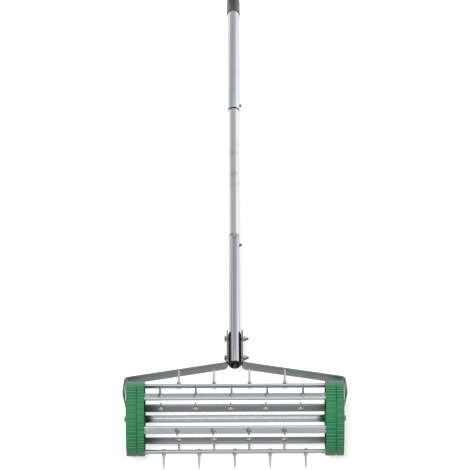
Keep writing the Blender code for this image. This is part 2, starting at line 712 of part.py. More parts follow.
def wheel_core():
    """Rim band, web and hub in one turned shape, from the wheel's inner face at x = 0."""
    bore = AXLE_RADIUS + FIT_GAP
    web_outer = WEB_RECESS + WEB_THICKNESS
    rim_low = RIM_SIDE_STEP
    rim_high = WHEEL_WIDTH - RIM_SIDE_STEP
    profile = [
        (bore, -HUB_INNER_LENGTH),
        (HUB_RADIUS, -HUB_INNER_LENGTH),
        (HUB_RADIUS, WEB_RECESS),
        (RIM_INNER_RADIUS, WEB_RECESS),
        (RIM_INNER_RADIUS, rim_low),
        (CORE_RADIUS, rim_low),
        (CORE_RADIUS, rim_high),
        (RIM_INNER_RADIUS, rim_high),
        (RIM_INNER_RADIUS, web_outer),
        (HUB_RADIUS, web_outer),
        (HUB_RADIUS, WHEEL_WIDTH - HUB_RECESS),
        (bore, WHEEL_WIDTH - HUB_RECESS),
    ]
    quarter_facet = 2 * math.pi / WHEEL_FACETS / 4
    bm = bmesh.new()
    add_turned(bm, profile, WHEEL_FACETS, start=quarter_facet)
    aim_along_x(bm)
    return mesh_from(bm, "wheel")


def wheel_fittings():
    """Sockets for the bars, and the ribs between them."""
    web_middle = WEB_RECESS + WEB_THICKNESS / 2
    socket_end = BAR_SEAT + FIT_GAP + SOCKET_WALL
    margin = 2 * (FIT_GAP + SOCKET_WALL)
    socket = raised(stadium(BAR_WIDTH + margin, BAR_THICKNESS + margin, OVAL_STEPS), BAR_PITCH_RADIUS)
    bm = bmesh.new()
    radial_prism(bm, socket, web_middle, socket_end - web_middle)
    repeat_rows(bm, everything(bm))
    rib_low = HUB_RADIUS - RIB_THICKNESS / 2
    rib_high = RIM_INNER_RADIUS + RIM_WALL / 4
    ribs = bmesh.new()
    radial_prism(ribs, box_outline(RIB_THICKNESS / 2, rib_low, rib_high), web_middle, RIB_DEPTH)
    bmesh.ops.rotate(ribs, verts=ribs.verts, cent=(0, 0, 0), matrix=Matrix.Rotation(ROW_STEP / 2, 3, "X"))
    repeat_rows(ribs, everything(ribs))
    rib_mesh = mesh_from(ribs, "ribs")
    bm.from_mesh(rib_mesh)
    bpy.data.meshes.remove(rib_mesh)
    return mesh_from(bm, "fittings")


def bar_pockets():
    """The pockets that the ends of the bars stand in."""
    pocket = raised(stadium(BAR_WIDTH + 2 * FIT_GAP, BAR_THICKNESS + 2 * FIT_GAP, OVAL_STEPS),
                    BAR_PITCH_RADIUS)
    start = WEB_RECESS / 2
    bm = bmesh.new()
    radial_prism(bm, pocket, start, BAR_SEAT + FIT_GAP - start)
    repeat_rows(bm, everything(bm))
    return mesh_from(bm, "pockets")


def bar_tongues():
    """The tongues inside the bars, from the floor of each pocket to past the wheel's inner face."""
    clearance = 2 * (BAR_WALL + FIT_GAP)
    tongue = raised(stadium(BAR_WIDTH - clearance, BAR_THICKNESS - clearance, TONGUE_STEPS), BAR_PITCH_RADIUS)
    root = BAR_SEAT + FIT_GAP + SOCKET_WALL / 2
    bm = bmesh.new()
    radial_prism(bm, tongue, -TONGUE_LENGTH, TONGUE_LENGTH + root)
    repeat_rows(bm, everything(bm))
    return mesh_from(bm, "tongues")


def build_wheels(drum, plastic):
    for prefix, side, turn in (("right", 1, 0), ("left", -1, math.pi)):
        wheel = combine(wheel_core(), tread_columns(side * TREAD_GROOVE_SHIFT), "UNION")
        wheel = combine(wheel, wheel_fittings(), "UNION")
        wheel = combine(wheel, bar_pockets(), "DIFFERENCE")
        wheel = combine(wheel, bar_tongues(), "UNION")
        make_object(prefix + "_wheel", wheel, drum, plastic,
                    location=(side * WHEEL_INNER_FACE, 0, 0), rotation=(0, 0, turn))


def spike_places(count, offset):
    return [(index - (count - 1) / 2) * SPIKE_SPACING + offset for index in range(count)]


def bar_mesh(count, offset):
    """A hollow flat-oval tube along X with holes through both walls for its spikes."""
    bm = bmesh.new()
    radial_prism(bm, raised(stadium(BAR_WIDTH, BAR_THICKNESS, OVAL_STEPS), BAR_PITCH_RADIUS),
                 -BAR_HALF_LENGTH, 2 * BAR_HALF_LENGTH)
    bar = mesh_from(bm, "bar")
    bm = bmesh.new()
    hollow = stadium(BAR_WIDTH - 2 * BAR_WALL, BAR_THICKNESS - 2 * BAR_WALL, OVAL_STEPS)
    radial_prism(bm, raised(hollow, BAR_PITCH_RADIUS), -2 * BAR_HALF_LENGTH, 4 * BAR_HALF_LENGTH)
    bar = combine(bar, mesh_from(bm, "hollow"), "DIFFERENCE")
    low = BAR_INNER_RADIUS - BAR_THICKNESS
    high = BAR_OUTER_RADIUS + BAR_THICKNESS
    bm = bmesh.new()
    for x in spike_places(count, offset):
        add_turned(bm, pin_profile(SPIKE_STEM_RADIUS + FIT_GAP, low, high), SPIKE_FACETS,
                   closed=False, centre=(x, 0, 0))
    return combine(bar, mesh_from(bm, "holes"), "DIFFERENCE")


def spike_mesh():
    """A spike on the +Z direction: a point, a flared collar, a stem through the bar and a peened head."""
    seat = BAR_OUTER_RADIUS + FIT_GAP
    head_seat = BAR_INNER_RADIUS - FIT_GAP
    return turned_mesh("spike", [
        (0, SPIKE_TIP_RADIUS),
        (SPIKE_POINT_RADIUS, SPIKE_TIP_RADIUS - SPIKE_POINT_LENGTH),
        (SPIKE_SHANK_RADIUS, seat + SPIKE_COLLAR_LENGTH),
        (SPIKE_COLLAR_RADIUS, seat),
        (SPIKE_STEM_RADIUS, seat),
        (SPIKE_STEM_RADIUS, head_seat),
        (SPIKE_HEAD_RADIUS, head_seat),
        (SPIKE_HEAD_CROWN_RADIUS, head_seat - SPIKE_HEAD_CROWN),
        (0, head_seat - SPIKE_HEAD_HEIGHT),
    ], SPIKE_FACETS, closed=False)


def build_rows(drum, bar_steel, spike_steel):
    spike = spike_mesh()
    for index, (count, offset) in enumerate(SPIKE_ROWS):
        turn = (row_angle(index), 0, 0)
        row = str(index + 1)
        make_object("bar_" + row, bar_mesh(count, offset), drum, bar_steel, rotation=turn)
        for place, x in enumerate(spike_places(count, offset)):
            name = "spike_" + row + "_" + str(place + 1)
            make_object(name, spike, drum, spike_steel, location=(x, 0, 0), rotation=turn)


def build_tool():
    clear_scene()
    tube_steel = make_material("zinc_tube", (0.62, 0.63, 0.64), 0.30, 1.0)
    strip_steel = make_material("zinc_strip", (0.42, 0.44, 0.45), 0.45, 1.0)
    spike_steel = make_material("zinc_spike", (0.55, 0.56, 0.57), 0.35, 1.0)
    fastener_steel = make_material("zinc_fastener", (0.60, 0.60, 0.60), 0.35, 1.0)
    spring_steel = make_material("spring_steel", (0.30, 0.30, 0.31), 0.40, 1.0)
    green_plastic = make_material("green_plastic", (0.045, 0.27, 0.105), 0.50, 0.0)
    black_plastic = make_material("black_plastic", (0.03, 0.03, 0.032), 0.45, 0.0)

    lie = -(math.pi / 2 + LIE_ANGLE)
    frame = make_empty("tool_frame", location=(0, AXLE_Y, AXLE_HEIGHT), turn_about_x=lie)
    drum = make_empty("drum_axis", location=(0, AXLE_Y, AXLE_HEIGHT), turn_about_x=lie)

    build_tubes(frame, tube_steel)
    build_end_cap(frame, black_plastic)
    build_foot_plug(frame, black_plastic)
    build_snap_button("lower", frame, LOWER_BUTTON_HEIGHT, SWAGE_BORE, BOTTOM_TUBE_RADIUS, 1,
                      spring_steel)
    build_snap_button("upper", frame, UPPER_BUTTON_HEIGHT, MIDDLE_TUBE_BORE, TOP_TUBE_RADIUS, -1,
                      spring_steel)
    build_brackets(frame, strip_steel)
    build_saddles(frame, black_plastic)
    build_clamp_fasteners(frame, fastener_steel)
    build_axle(frame, tube_steel)
    build_wheels(drum, green_plastic)
    build_rows(drum, tube_steel, spike_steel)


build_tool()
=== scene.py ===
import math

import bmesh
import bpy
from mathutils import Matrix, Vector


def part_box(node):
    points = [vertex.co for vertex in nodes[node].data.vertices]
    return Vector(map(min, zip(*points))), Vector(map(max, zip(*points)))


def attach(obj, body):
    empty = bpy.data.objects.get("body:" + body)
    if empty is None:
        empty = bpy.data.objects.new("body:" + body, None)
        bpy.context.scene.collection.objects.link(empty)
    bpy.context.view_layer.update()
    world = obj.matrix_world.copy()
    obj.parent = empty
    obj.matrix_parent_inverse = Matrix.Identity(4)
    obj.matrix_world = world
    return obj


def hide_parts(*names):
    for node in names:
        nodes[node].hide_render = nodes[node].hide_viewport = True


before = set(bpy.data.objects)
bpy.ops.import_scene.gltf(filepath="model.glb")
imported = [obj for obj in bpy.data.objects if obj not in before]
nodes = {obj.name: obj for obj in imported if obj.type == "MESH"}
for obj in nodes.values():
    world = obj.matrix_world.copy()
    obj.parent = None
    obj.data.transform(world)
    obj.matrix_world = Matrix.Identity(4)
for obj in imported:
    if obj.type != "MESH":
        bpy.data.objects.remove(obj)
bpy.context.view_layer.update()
print("frame loaded:", len(nodes), "nodes")


# Where the tool lies: x along the axle, z along the handle, y towards the floor

def boxMiddle(name):
    low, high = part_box(name)
    return (low + high) / 2


axlePoint = boxMiddle("axle_tube")
handleWay = boxMiddle("top_tube") - axlePoint
lieAngle = math.atan2(-handleWay.z, handleWay.y)
toolPlace = Matrix.Translation(axlePoint) @ Matrix.Rotation(-(math.pi / 2 + lieAngle), 4, "X")
toolHome = toolPlace.inverted()


def toolPoints(name):
    # a node's corners in the tool's own directions
    return [toolHome @ vertex.co for vertex in nodes[name].data.vertices]


def toolBox(name):
    points = toolPoints(name)
    return [Vector([pick(point[axis] for point in points) for axis in range(3)]) for pick in (min, max)]


# Mesh helpers

def meshFrom(bm, name):
    bmesh.ops.remove_doubles(bm, verts=bm.verts, dist=1e-6)
    bmesh.ops.recalc_face_normals(bm, faces=bm.faces)
    mesh = bpy.data.meshes.new(name)
    bm.to_mesh(mesh)
    bm.free()
    return mesh


def stitched(bm, lower, upper):
    # a band of faces between two closed rows of corners
    for k in range(len(lower)):
        n = (k + 1) % len(lower)
        bm.faces.new((lower[k], lower[n], upper[n], upper[k]))


def lofted(sections, name):
    # a solid through closed rows of corners
    bm = bmesh.new()
    rows = [[bm.verts.new(corner) for corner in section] for section in sections]
    for near, far in zip(rows, rows[1:]):
        stitched(bm, near, far)
    bm.faces.new(rows[0])
    bm.faces.new(rows[-1])
    return meshFrom(bm, name)


def turned(profile, facets, closed=True, onAxis="Z"):
    # a (radius, height) profile turned about an axis; an open one starts and ends on it
    bm = bmesh.new()
    around = [(math.cos(2 * math.pi * k / facets), math.sin(2 * math.pi * k / facets)) for k in range(facets)]
    rings = [[bm.verts.new((0, 0, height))] if radius < 1e-7
             else [bm.verts.new((radius * c, radius * s, height)) for c, s in around]
             for radius, height in profile]
    pairs = list(zip(rings, rings[1:])) + ([(rings[-1], rings[0])] if closed else [])
    for lower, upper in pairs:
        if len(lower) > 1 and len(upper) > 1:
            stitched(bm, lower, upper)
            continue
        for k in range(facets if len(lower) + len(upper) > 2 else 0):
            n = (k + 1) % facets
            bm.faces.new((lower[0], upper[n], upper[k]) if len(lower) == 1 else (lower[k], lower[n], upper[0]))
    if onAxis == "X":
        bm.transform(Matrix.Rotation(math.pi / 2, 4, "Y"))
    return meshFrom(bm, "turned")


def arc(centre, radius, start, stop, steps):
    # points on a quarter round, angles in degrees from +radius towards +height
    angles = [math.radians(start + (stop - start) * step / steps) for step in range(steps + 1)]
    return [(centre[0] + radius * math.cos(angle), centre[1] + radius * math.sin(angle)) for angle in angles]


def tubeProfile(radius, bore, low, high, edge, steps=3):
    # a tube wall with its four rims eased
    corners = ((radius - edge, low, edge), (radius - edge, high, -edge), (bore + edge, high, -edge),
               (bore + edge, low, edge))
    return [point for number, (r, z, inward) in enumerate(corners)
            for point in arc((r, z + inward), edge, 90 * number - 90, 90 * number, steps)]


def prism(outline, start, length):
    bm = bmesh.new()
    face = bm.faces.new([bm.verts.new((x, y, start)) for x, y in outline])
    made = bmesh.ops.extrude_face_region(bm, geom=[face])
    far = [item for item in made["geom"] if isinstance(item, bmesh.types.BMVert)]
    bmesh.ops.translate(bm, verts=far, vec=(0, 0, length))
    return meshFrom(bm, "prism")


def outwardPrism(outline, start, length):
    # an outline across and out from the axle, pushed along X, on the +Z side
    mesh = prism(outline, start, length)
    mesh.transform(Matrix(((0, 0, 1, 0), (1, 0, 0, 0), (0, 1, 0, 0), (0, 0, 0, 1))))
    return mesh


def flatOval(width, thickness, out, steps):
    radius = thickness / 2
    reach = width / 2 - radius
    right = [(reach + x, out + y) for x, y in arc((0, 0), radius, -90, 90, steps)]
    return right + [(x - reach, out + y) for x, y in arc((0, 0), radius, 90, 270, steps)]


def block(left, right, low, high):
    return [(left, low), (right, low), (right, high), (left, high)]


def joined(meshes, name):
    bm = bmesh.new()
    for mesh in meshes:
        bm.from_mesh(mesh)
        bpy.data.meshes.remove(mesh)
    mesh = bpy.data.meshes.new(name)
    bm.to_mesh(mesh)
    bm.free()
    return mesh


def moved(mesh, x, y, z):
    mesh.transform(Matrix.Translation((x, y, z)))
    return mesh


def pin(radius, low, high, facets, places=((0, 0),)):
    # pins along X, at (y, z) places
    outline = [(0, low), (radius, low), (radius, high), (0, high)]
    return joined([moved(turned(outline, facets, False, "X"), 0, y, z) for y, z in places], "pin")


def turnedAbout(mesh, angle, axis):
    mesh.transform(Matrix.Rotation(angle, 4, axis))
    return mesh


def placed(name, data):
    holder = bpy.data.objects.new(name, data)
    bpy.context.scene.collection.objects.link(holder)
    return holder


def resultOf(holder):
    # the plain mesh that an object's modifiers make; the object goes, with its own mesh
    evaluated = holder.evaluated_get(bpy.context.evaluated_depsgraph_get())
    result, source = bpy.data.meshes.new_from_object(evaluated), holder.data
    holder.modifiers.clear()
    bpy.data.objects.remove(holder)
    bpy.data.meshes.remove(source)
    return result


def applied(mesh, kind, **settings):
    holder = placed("applied", mesh)
    step = holder.modifiers.new(kind, kind)
    for key, value in settings.items():
        setattr(step, key, value)
    return resultOf(holder)


def combined(mesh, other, operation="DIFFERENCE"):
    tool = placed("cutter", other)
    result = applied(mesh, "BOOLEAN", operation=operation, object=tool, solver="EXACT")
    bpy.data.objects.remove(tool)
    bpy.data.meshes.remove(other)
    return result


def eased(mesh, width, segments=2, angle=40):
    return applied(mesh, "BEVEL", width=width, segments=segments, limit_method="ANGLE",
                   angle_limit=math.radians(angle), use_clamp_overlap=True)


def makePiece(name, mesh, body, material, slotName, *replaced):
    mesh.transform(toolPlace)
    bm = bmesh.new()
    bm.from_mesh(mesh)
    bmesh.ops.remove_doubles(bm, verts=bm.verts, dist=2e-7)
    bmesh.ops.recalc_face_normals(bm, faces=bm.faces)
    bm.to_mesh(mesh)
    bm.free()
    mesh.shade_smooth()
    mesh.set_sharp_from_angle(angle=math.radians(35))
    mesh.name = name
    mesh.materials.clear()
    mesh.materials.append(material)
    piece = placed(name, mesh)
    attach(piece, body)
    if replaced:
        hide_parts(*replaced)


# Short ways to put nodes into a tree

def putNode(tree, kind, inputs=None, **settings):
    # inputs that are sockets are linked, others set
    node = tree.nodes.new(kind)
    node.location = (220 * (len(tree.nodes) % 12), -260 * (len(tree.nodes) // 12))
    for key, value in settings.items():
        setattr(node, key, value)
    for key, value in (inputs or {}).items():
        if isinstance(value, bpy.types.NodeSocket):
            tree.links.new(value, node.inputs[key])
        else:
            node.inputs[key].default_value = value
    return node


def mathOf(tree, operation, *values, clamp=False):
    return putNode(tree, "ShaderNodeMath", dict(enumerate(values)), operation=operation, use_clamp=clamp).outputs[0]


def vectorMath(tree, operation, *values, output=0):
    return putNode(tree, "ShaderNodeVectorMath", dict(enumerate(values)), operation=operation).outputs[output]


def ranged(tree, value, low, high, toLow=0.0, toHigh=1.0, kind="LINEAR"):
    return putNode(tree, "ShaderNodeMapRange", {
        "Value": value, "From Min": low, "From Max": high, "To Min": toLow, "To Max": toHigh},
        interpolation_type=kind).outputs[0]


def between(tree, value, low, high, blur):
    # 1 where value lies between low and high
    rise = ranged(tree, value, low - blur, low)
    return mathOf(tree, "MULTIPLY", rise, ranged(tree, value, high, high + blur, 1.0, 0.0))


def valueMix(tree, factor, first, second):
    return putNode(tree, "ShaderNodeMix", {0: factor, 2: first, 3: second}).outputs[0]


def colourMix(tree, factor, first, second, blend="MIX"):
    first, second = ((*value, 1.0) if isinstance(value, tuple) else value for value in (first, second))
    return putNode(tree, "ShaderNodeMix", {0: factor, 6: first, 7: second}, data_type="RGBA",
                   blend_type=blend).outputs[2]


def noise(tree, place, scale, detail, roughness=0.5):
    return putNode(tree, "ShaderNodeTexNoise", {
        "Vector": place, "Scale": scale, "Detail": detail, "Roughness": roughness}).outputs[0]


def combine(tree, **parts):
    return putNode(tree, "ShaderNodeCombineXYZ", parts).outputs[0]


def part(tree, vector, axis):
    return putNode(tree, "ShaderNodeSeparateXYZ", {0: vector}).outputs[axis]


def objectPlace(tree):
    return putNode(tree, "ShaderNodeTexCoord").outputs["Object"]


def turnedPlace(tree, turn):
    return putNode(tree, "ShaderNodeMapping", {"Vector": objectPlace(tree), "Rotation": turn}).outputs[0]


def normal(tree):
    return putNode(tree, "ShaderNodeNewGeometry").outputs["Normal"]


def facing(tree):
    return putNode(tree, "ShaderNodeLayerWeight", {"Blend": 0.35}).outputs["Facing"]


def newSocket(tree, name, way, kind):
    return tree.interface.new_socket(name=name, in_out=way, socket_type="NodeSocket" + kind)


def closed(tree, value):
    putNode(tree, "NodeGroupOutput", {0: value})
    return tree


# Geometry Nodes trees for what repeats

def repeatTree(name, extra):
    tree = bpy.data.node_groups.new(name, "GeometryNodeTree")
    tree.is_modifier = True
    newSocket(tree, "Geometry", "OUTPUT", "Geometry")
    for key, kind in (("Geometry", "Geometry"), ("Count", "Int"), *((key, "Float") for key in extra),
                      ("Finish", "Material")):
        newSocket(tree, key, "INPUT", kind)
    return tree, putNode(tree, "NodeGroupInput").outputs


def spread(tree, start, points, **more):
    copies = putNode(tree, "GeometryNodeInstanceOnPoints", {"Points": points, "Instance": start["Geometry"], **more})
    real = putNode(tree, "GeometryNodeRealizeInstances", {0: copies.outputs[0]})
    finish = putNode(tree, "GeometryNodeSetMaterial", {"Geometry": real.outputs[0], "Material": start["Finish"]})
    return closed(tree, finish.outputs[0])


def ringTree():
    # copies round the axle: Count of them, the first turned by First Turn
    tree, start = repeatTree("aroundAxle", ["First Turn"])
    share = mathOf(tree, "DIVIDE", putNode(tree, "GeometryNodeInputIndex").outputs[0], start["Count"])
    turn = combine(tree, X=mathOf(tree, "MULTIPLY_ADD", share, 2 * math.pi, start["First Turn"]))
    spin = putNode(tree, "FunctionNodeEulerToRotation", {0: turn}).outputs[0]
    points = putNode(tree, "GeometryNodePoints", {"Count": start["Count"]}).outputs[0]
    return spread(tree, start, points, Rotation=spin)


def rowTree():
    # copies in a row along the axle: Count of them, Spacing apart, the middle moved by Offset
    tree, start = repeatTree("alongAxle", ["Spacing", "Offset"])
    half = mathOf(tree, "MULTIPLY_ADD", start["Count"], -0.5, 0.5)
    fromMiddle = mathOf(tree, "ADD", putNode(tree, "GeometryNodeInputIndex").outputs[0], half)
    place = combine(tree, X=mathOf(tree, "MULTIPLY_ADD", fromMiddle, start["Spacing"], start["Offset"]))
    points = putNode(tree, "GeometryNodePoints", {"Count": start["Count"], "Position": place}).outputs[0]
    return spread(tree, start, points)


def repeated(tree, mesh, material, *values):
    # the values go to the tree's inputs after Geometry, in their order
    holder = placed("repeated", mesh)
    step = holder.modifiers.new("repeat", "NODES")
    step.node_group = tree
    sockets = [item for item in tree.interface.items_tree if item.in_out == "INPUT"][1:]
    for socket, value in zip(sockets, (*values, material)):
        step[socket.identifier] = value
    return resultOf(holder)


ringOf = ringTree()
rowOf = rowTree()
print("trees ready")


# Shader groups

def shaderGroup(name, output, *inputs):
    tree = bpy.data.node_groups.new(name, "ShaderNodeTree")
    for key, kind, value in inputs:
        newSocket(tree, key, "INPUT", kind).default_value = value
    newSocket(tree, output, "OUTPUT", "Float")
    return tree, putNode(tree, "NodeGroupInput").outputs


def cloudGroup():
    # soft blotches, as on zinc plating or on moulded plastic that cooled unevenly
    tree, start = shaderGroup("cloudiness", "Mask", ("Size", "Float", 30.0), ("Contrast", "Float", 0.5))
    place = objectPlace(tree)
    broad = noise(tree, place, start["Size"], 3.0, 0.6)
    fine = noise(tree, place, mathOf(tree, "MULTIPLY", start["Size"], 7.0), 2.0)
    both = mathOf(tree, "SUBTRACT", mathOf(tree, "MULTIPLY_ADD", fine, 0.35, broad), 0.675)
    return closed(tree, mathOf(tree, "MULTIPLY_ADD", both, start["Contrast"], 0.5, clamp=True))


def drawLineGroup():
    # fine lines left by drawing or rolling, along the direction that Turn brings onto Z
    tree, start = shaderGroup("drawLines", "Mask", ("Turn", "Vector", (0.0, 0.0, 0.0)),
                              ("Fineness", "Float", 900.0), ("Run", "Float", 6.0))
    stretch = combine(tree, X=start["Fineness"], Y=start["Fineness"], Z=start["Run"])
    stretched = vectorMath(tree, "MULTIPLY", turnedPlace(tree, start["Turn"]), stretch)
    return closed(tree, ranged(tree, noise(tree, stretched, 1.0, 2.0, 0.7), 0.3, 0.7))


def edgeGroup():
    # 1 on edges, 0 elsewhere: where a rounded-off normal would differ from the real one; it lays wear on most finishes,
    #                          a painted highlight on the green lugs and painted shade on the fasteners
    tree, start = shaderGroup("edgeWearAndPaintedLight", "Mask", ("Reach", "Float", 0.0004), ("Breakup", "Float", 250.0))
    rounded = putNode(tree, "ShaderNodeBevel", {"Radius": start["Reach"]}, samples=4).outputs[0]
    alike = vectorMath(tree, "DOT_PRODUCT", rounded, normal(tree), output="Value")
    patchy = ranged(tree, noise(tree, objectPlace(tree), start["Breakup"], 3.0), 0.35, 0.6)
    return closed(tree, mathOf(tree, "MULTIPLY", ranged(tree, alike, 0.97, 0.80), patchy))


def axleDistanceGroup():
    # how far a point lies from the axle's line
    tree, start = shaderGroup("axleDistance", "Distance", ("Axle", "Vector", tuple(axlePoint)))
    fromAxle = vectorMath(tree, "SUBTRACT", objectPlace(tree), start["Axle"])
    across = vectorMath(tree, "MULTIPLY", fromAxle, (0.0, 1.0, 1.0))
    return closed(tree, vectorMath(tree, "LENGTH", across, output="Value"))


cloudiness = cloudGroup()
drawLines = drawLineGroup()
edgeWearAndPaintedLight = edgeGroup()
axleDistance = axleDistanceGroup()

alongHandle = (math.pi / 2 + lieAngle, 0.0, 0.0)     # brings the handle's direction onto Z
alongAxle = (0.0, -math.pi / 2, 0.0)                 # brings the axle's direction onto Z


# Effects on a material's colour

def fromGroup(tree, group, **inputs):
    return putNode(tree, "ShaderNodeGroup", inputs, node_tree=group).outputs[0]


def feed(tree, key, value):
    tree.links.new(value, tree.nodes["Principled BSDF"].inputs[key])


def stained(tree, colour, stain):
    # faint yellow passivation marks over one stretch of the handle
    height = part(tree, turnedPlace(tree, alongHandle), "Z")
    distance = mathOf(tree, "ABSOLUTE", mathOf(tree, "SUBTRACT", height, stain["middle"]))
    near = ranged(tree, distance, stain["reach"] * 0.5, stain["reach"], 1.0, 0.0)
    blotch = noise(tree, objectPlace(tree), stain["blotchSize"], 3.0)
    patchy = ranged(tree, blotch, 0.42, 0.62, 0.0, stain["strength"])
    return colourMix(tree, mathOf(tree, "MULTIPLY", near, patchy), colour, stain["tint"])


def marked(tree, colour, marks):
    # dark lines round the handle, or a V across its top where a mark has a slope
    place, middle, blur = turnedPlace(tree, alongHandle), 0.0007, 0.0004
    aside = mathOf(tree, "ABSOLUTE", mathOf(tree, "SUBTRACT", part(tree, place, "X"), middle))
    for mark in marks:
        lifted = mathOf(tree, "MULTIPLY_ADD", aside, -mark["slope"], part(tree, place, "Z"))
        line = between(tree, lifted, mark["from"], mark["to"], blur)
        reach = ranged(tree, aside, mark["reach"], mark["reach"] + blur, 1.0, 0.0)
        colour = colourMix(tree, mathOf(tree, "MULTIPLY", line, reach), colour, mark["tint"])
    return colour


def shadedEnds(tree, colour, ends):
    # painted shade: the sides that face the axle are darker than the outer sides, more so towards the wheels and most
    # at the left one
    shifted = mathOf(tree, "SUBTRACT", part(tree, objectPlace(tree), "X"), ends["middle"])
    near = ranged(tree, mathOf(tree, "ABSOLUTE", shifted), ends["from"], ends["to"], ends["inside"],
                  ends["atWheel"], "SMOOTHSTEP")
    inner = ranged(tree, fromGroup(tree, axleDistance), ends["outerSide"], ends["innerSide"])
    return colourMix(tree, mathOf(tree, "MULTIPLY", near, inner), colour, ends["tint"])


def brightHeads(tree, colour, heads):
    # the rivet heads on the bars' inner sides are bright, each in a ring of painted shade where it is set
    radius, blur = fromGroup(tree, axleDistance), 0.0001
    head, ring = (ranged(tree, radius, heads[key] + blur, heads[key]) for key in ("ring", "shaft"))
    feed(tree, "Metallic", ranged(tree, head, 0, 1, 1.0, heads["metallic"]))
    return colourMix(tree, head, colourMix(tree, ring, colour, heads["ringTint"]), heads["tint"])


def seamed(tree, colour, seam):
    # the weld line along a tube, dark on one side and rolled bright on the other
    across, at, blur = part(tree, objectPlace(tree), "X"), seam["at"], 0.0003
    groove = between(tree, across, at - seam["width"], at, blur)
    ridge = between(tree, across, at + blur, at + seam["ridge"], blur)
    return colourMix(tree, ridge, colourMix(tree, groove, colour, seam["dark"]), seam["light"])


def lugLines(tree, colour, lugs):
    # painted highlight on the eased edges of the lugs, and painted shade in the gaps between them
    radius = fromGroup(tree, axleDistance)
    edge = between(tree, radius, lugs["edge"], lugs["crown"], blur=0.00004)
    gap = between(tree, radius, lugs["floor"], lugs["gapTop"], blur=0.0001)
    return colourMix(tree, edge, colourMix(tree, gap, colour, lugs["dirt"]), lugs["light"])


def inwardShade(tree, colour, inward):
    # the wheels' flat sides are matt, darker than the treads, and nearly black when seen along them
    flat = mathOf(tree, "MULTIPLY", *(
        ranged(tree, mathOf(tree, "ABSOLUTE", part(tree, source, "X")), low, high) for source, low, high in (
            (objectPlace(tree), inward["faces"] + 0.0003, inward["faces"]), (normal(tree), 0.5, 0.8))))
    feed(tree, "Specular IOR Level", ranged(tree, flat, 0, 1, 0.5, 0.0))
    matt = colourMix(tree, ranged(tree, facing(tree), 0.80, 0.92), inward["tint"], inward["grazingTint"])
    return colourMix(tree, flat, colour, matt)


def litFromAbove(tree, colour, tint):
    # painted light: what faces up is lighter grey
    return colourMix(tree, ranged(tree, part(tree, normal(tree), "Z"), 0.90, 0.97), colour, tint)


zincEffects = {"stain": stained, "marks": marked, "ends": shadedEnds, "heads": brightHeads, "seam": seamed}
plasticEffects = {"lugs": lugLines, "inward": inwardShade, "dust": litFromAbove}


# Materials

def newMaterial(name, look):
    # a cloudy colour and roughness, and the edge mask, which lays wear on most finishes and painted light on some
    material = bpy.data.materials.new(name)
    material.use_nodes = True
    tree = material.node_tree
    cloud = fromGroup(tree, cloudiness, Size=look["cloudSize"], Contrast=look["cloudContrast"])
    feed(tree, "Roughness", ranged(tree, cloud, 0, 1, *look["rough"]))
    edgeMask = fromGroup(tree, edgeWearAndPaintedLight, Reach=look["edgeReach"], Breakup=look["edgeBreakup"])
    return material, tree, colourMix(tree, cloud, look["dark"], look["light"]), edgeMask


def finishMaterial(tree, colour, height, strength, distance):
    feed(tree, "Base Color", colour)
    bump = putNode(tree, "ShaderNodeBump", {"Height": height, "Strength": strength, "Distance": distance})
    feed(tree, "Normal", bump.outputs[0])


def withEffects(tree, colour, effects, look):
    for key, effect in effects.items():
        if key in look:
            colour = effect(tree, colour, look[key])
    return colour


def zincMaterial(name, **changes):
    look = {**zincLook, **changes}
    material, tree, base, edgeMask = newMaterial(name, look)
    tree.nodes["Principled BSDF"].inputs["Metallic"].default_value = 1.0
    lines = fromGroup(tree, drawLines, Turn=look["lineTurn"], Fineness=look["lineFineness"], Run=look["lineRun"])
    lined = withEffects(tree, colourMix(tree, lines, base, look["lineTint"], "MULTIPLY"), zincEffects, look)
    colour = colourMix(tree, edgeMask, lined, look["edgeTint"])
    # painted shade: surfaces seen at a grazing angle darken, drawing dark outlines on the spikes and fasteners
    if "rimTint" in look:
        colour = colourMix(tree, ranged(tree, facing(tree), 0.30, 0.72, kind="SMOOTHSTEP"), colour, look["rimTint"])
    finishMaterial(tree, colour, lines, look["lineDepth"], 0.0002)
    return material


def plasticMaterial(name, **look):
    material, tree, base, edgeMask = newMaterial(name, look)
    colour = withEffects(tree, colourMix(tree, edgeMask, base, look["edgeTint"]), plasticEffects, look)
    grain = putNode(tree, "ShaderNodeTexVoronoi", {"Vector": objectPlace(tree), "Scale": look["grainSize"]},
                    feature="SMOOTH_F1")
    finishMaterial(tree, colour, grain.outputs["Distance"], look["grainDepth"], 0.0003)
    tree.nodes["Principled BSDF"].inputs["IOR"].default_value = look.get("ior", 1.5)
    return material


zincLook = {
    "dark": (0.69, 0.73, 0.77), "light": (0.83, 0.87, 0.92), "lineTint": (0.93, 0.93, 0.93),
    "edgeTint": (0.86, 0.87, 0.88), "cloudSize": 30.0, "cloudContrast": 0.8, "lineTurn": alongHandle,
    "lineFineness": 700.0, "lineRun": 4.0, "lineDepth": 0.008, "edgeReach": 0.0004, "edgeBreakup": 300.0,
    "rough": (0.17, 0.25),
}
seam = {"at": -0.0059, "width": 0.0016, "ridge": 0.0021, "dark": (0.44, 0.45, 0.46), "light": (0.97, 0.97, 0.98)}
# painted shade near the wheels, shared by the axle and the bars
endShade = {"middle": 0.014, "to": 0.188, "outerSide": 0.0655, "innerSide": 0.0635}
# a dark V across the bottom tube below its mouth
darkVee = {"from": -0.0824, "to": -0.0812, "slope": 1.76, "reach": 0.0056, "tint": (0.12, 0.12, 0.12)}
stain = {"middle": 0.12, "reach": 0.07, "blotchSize": 60.0, "strength": 0.55, "tint": (0.62, 0.60, 0.50)}
mouthShade = {"from": 0.2936, "to": 0.2966, "slope": 0.0, "reach": 0.02, "tint": (0.05, 0.05, 0.05)}
shoulderShade = {"from": -0.0716, "to": -0.0645, "slope": 0.0, "reach": 0.02, "tint": (0.42, 0.42, 0.43)}

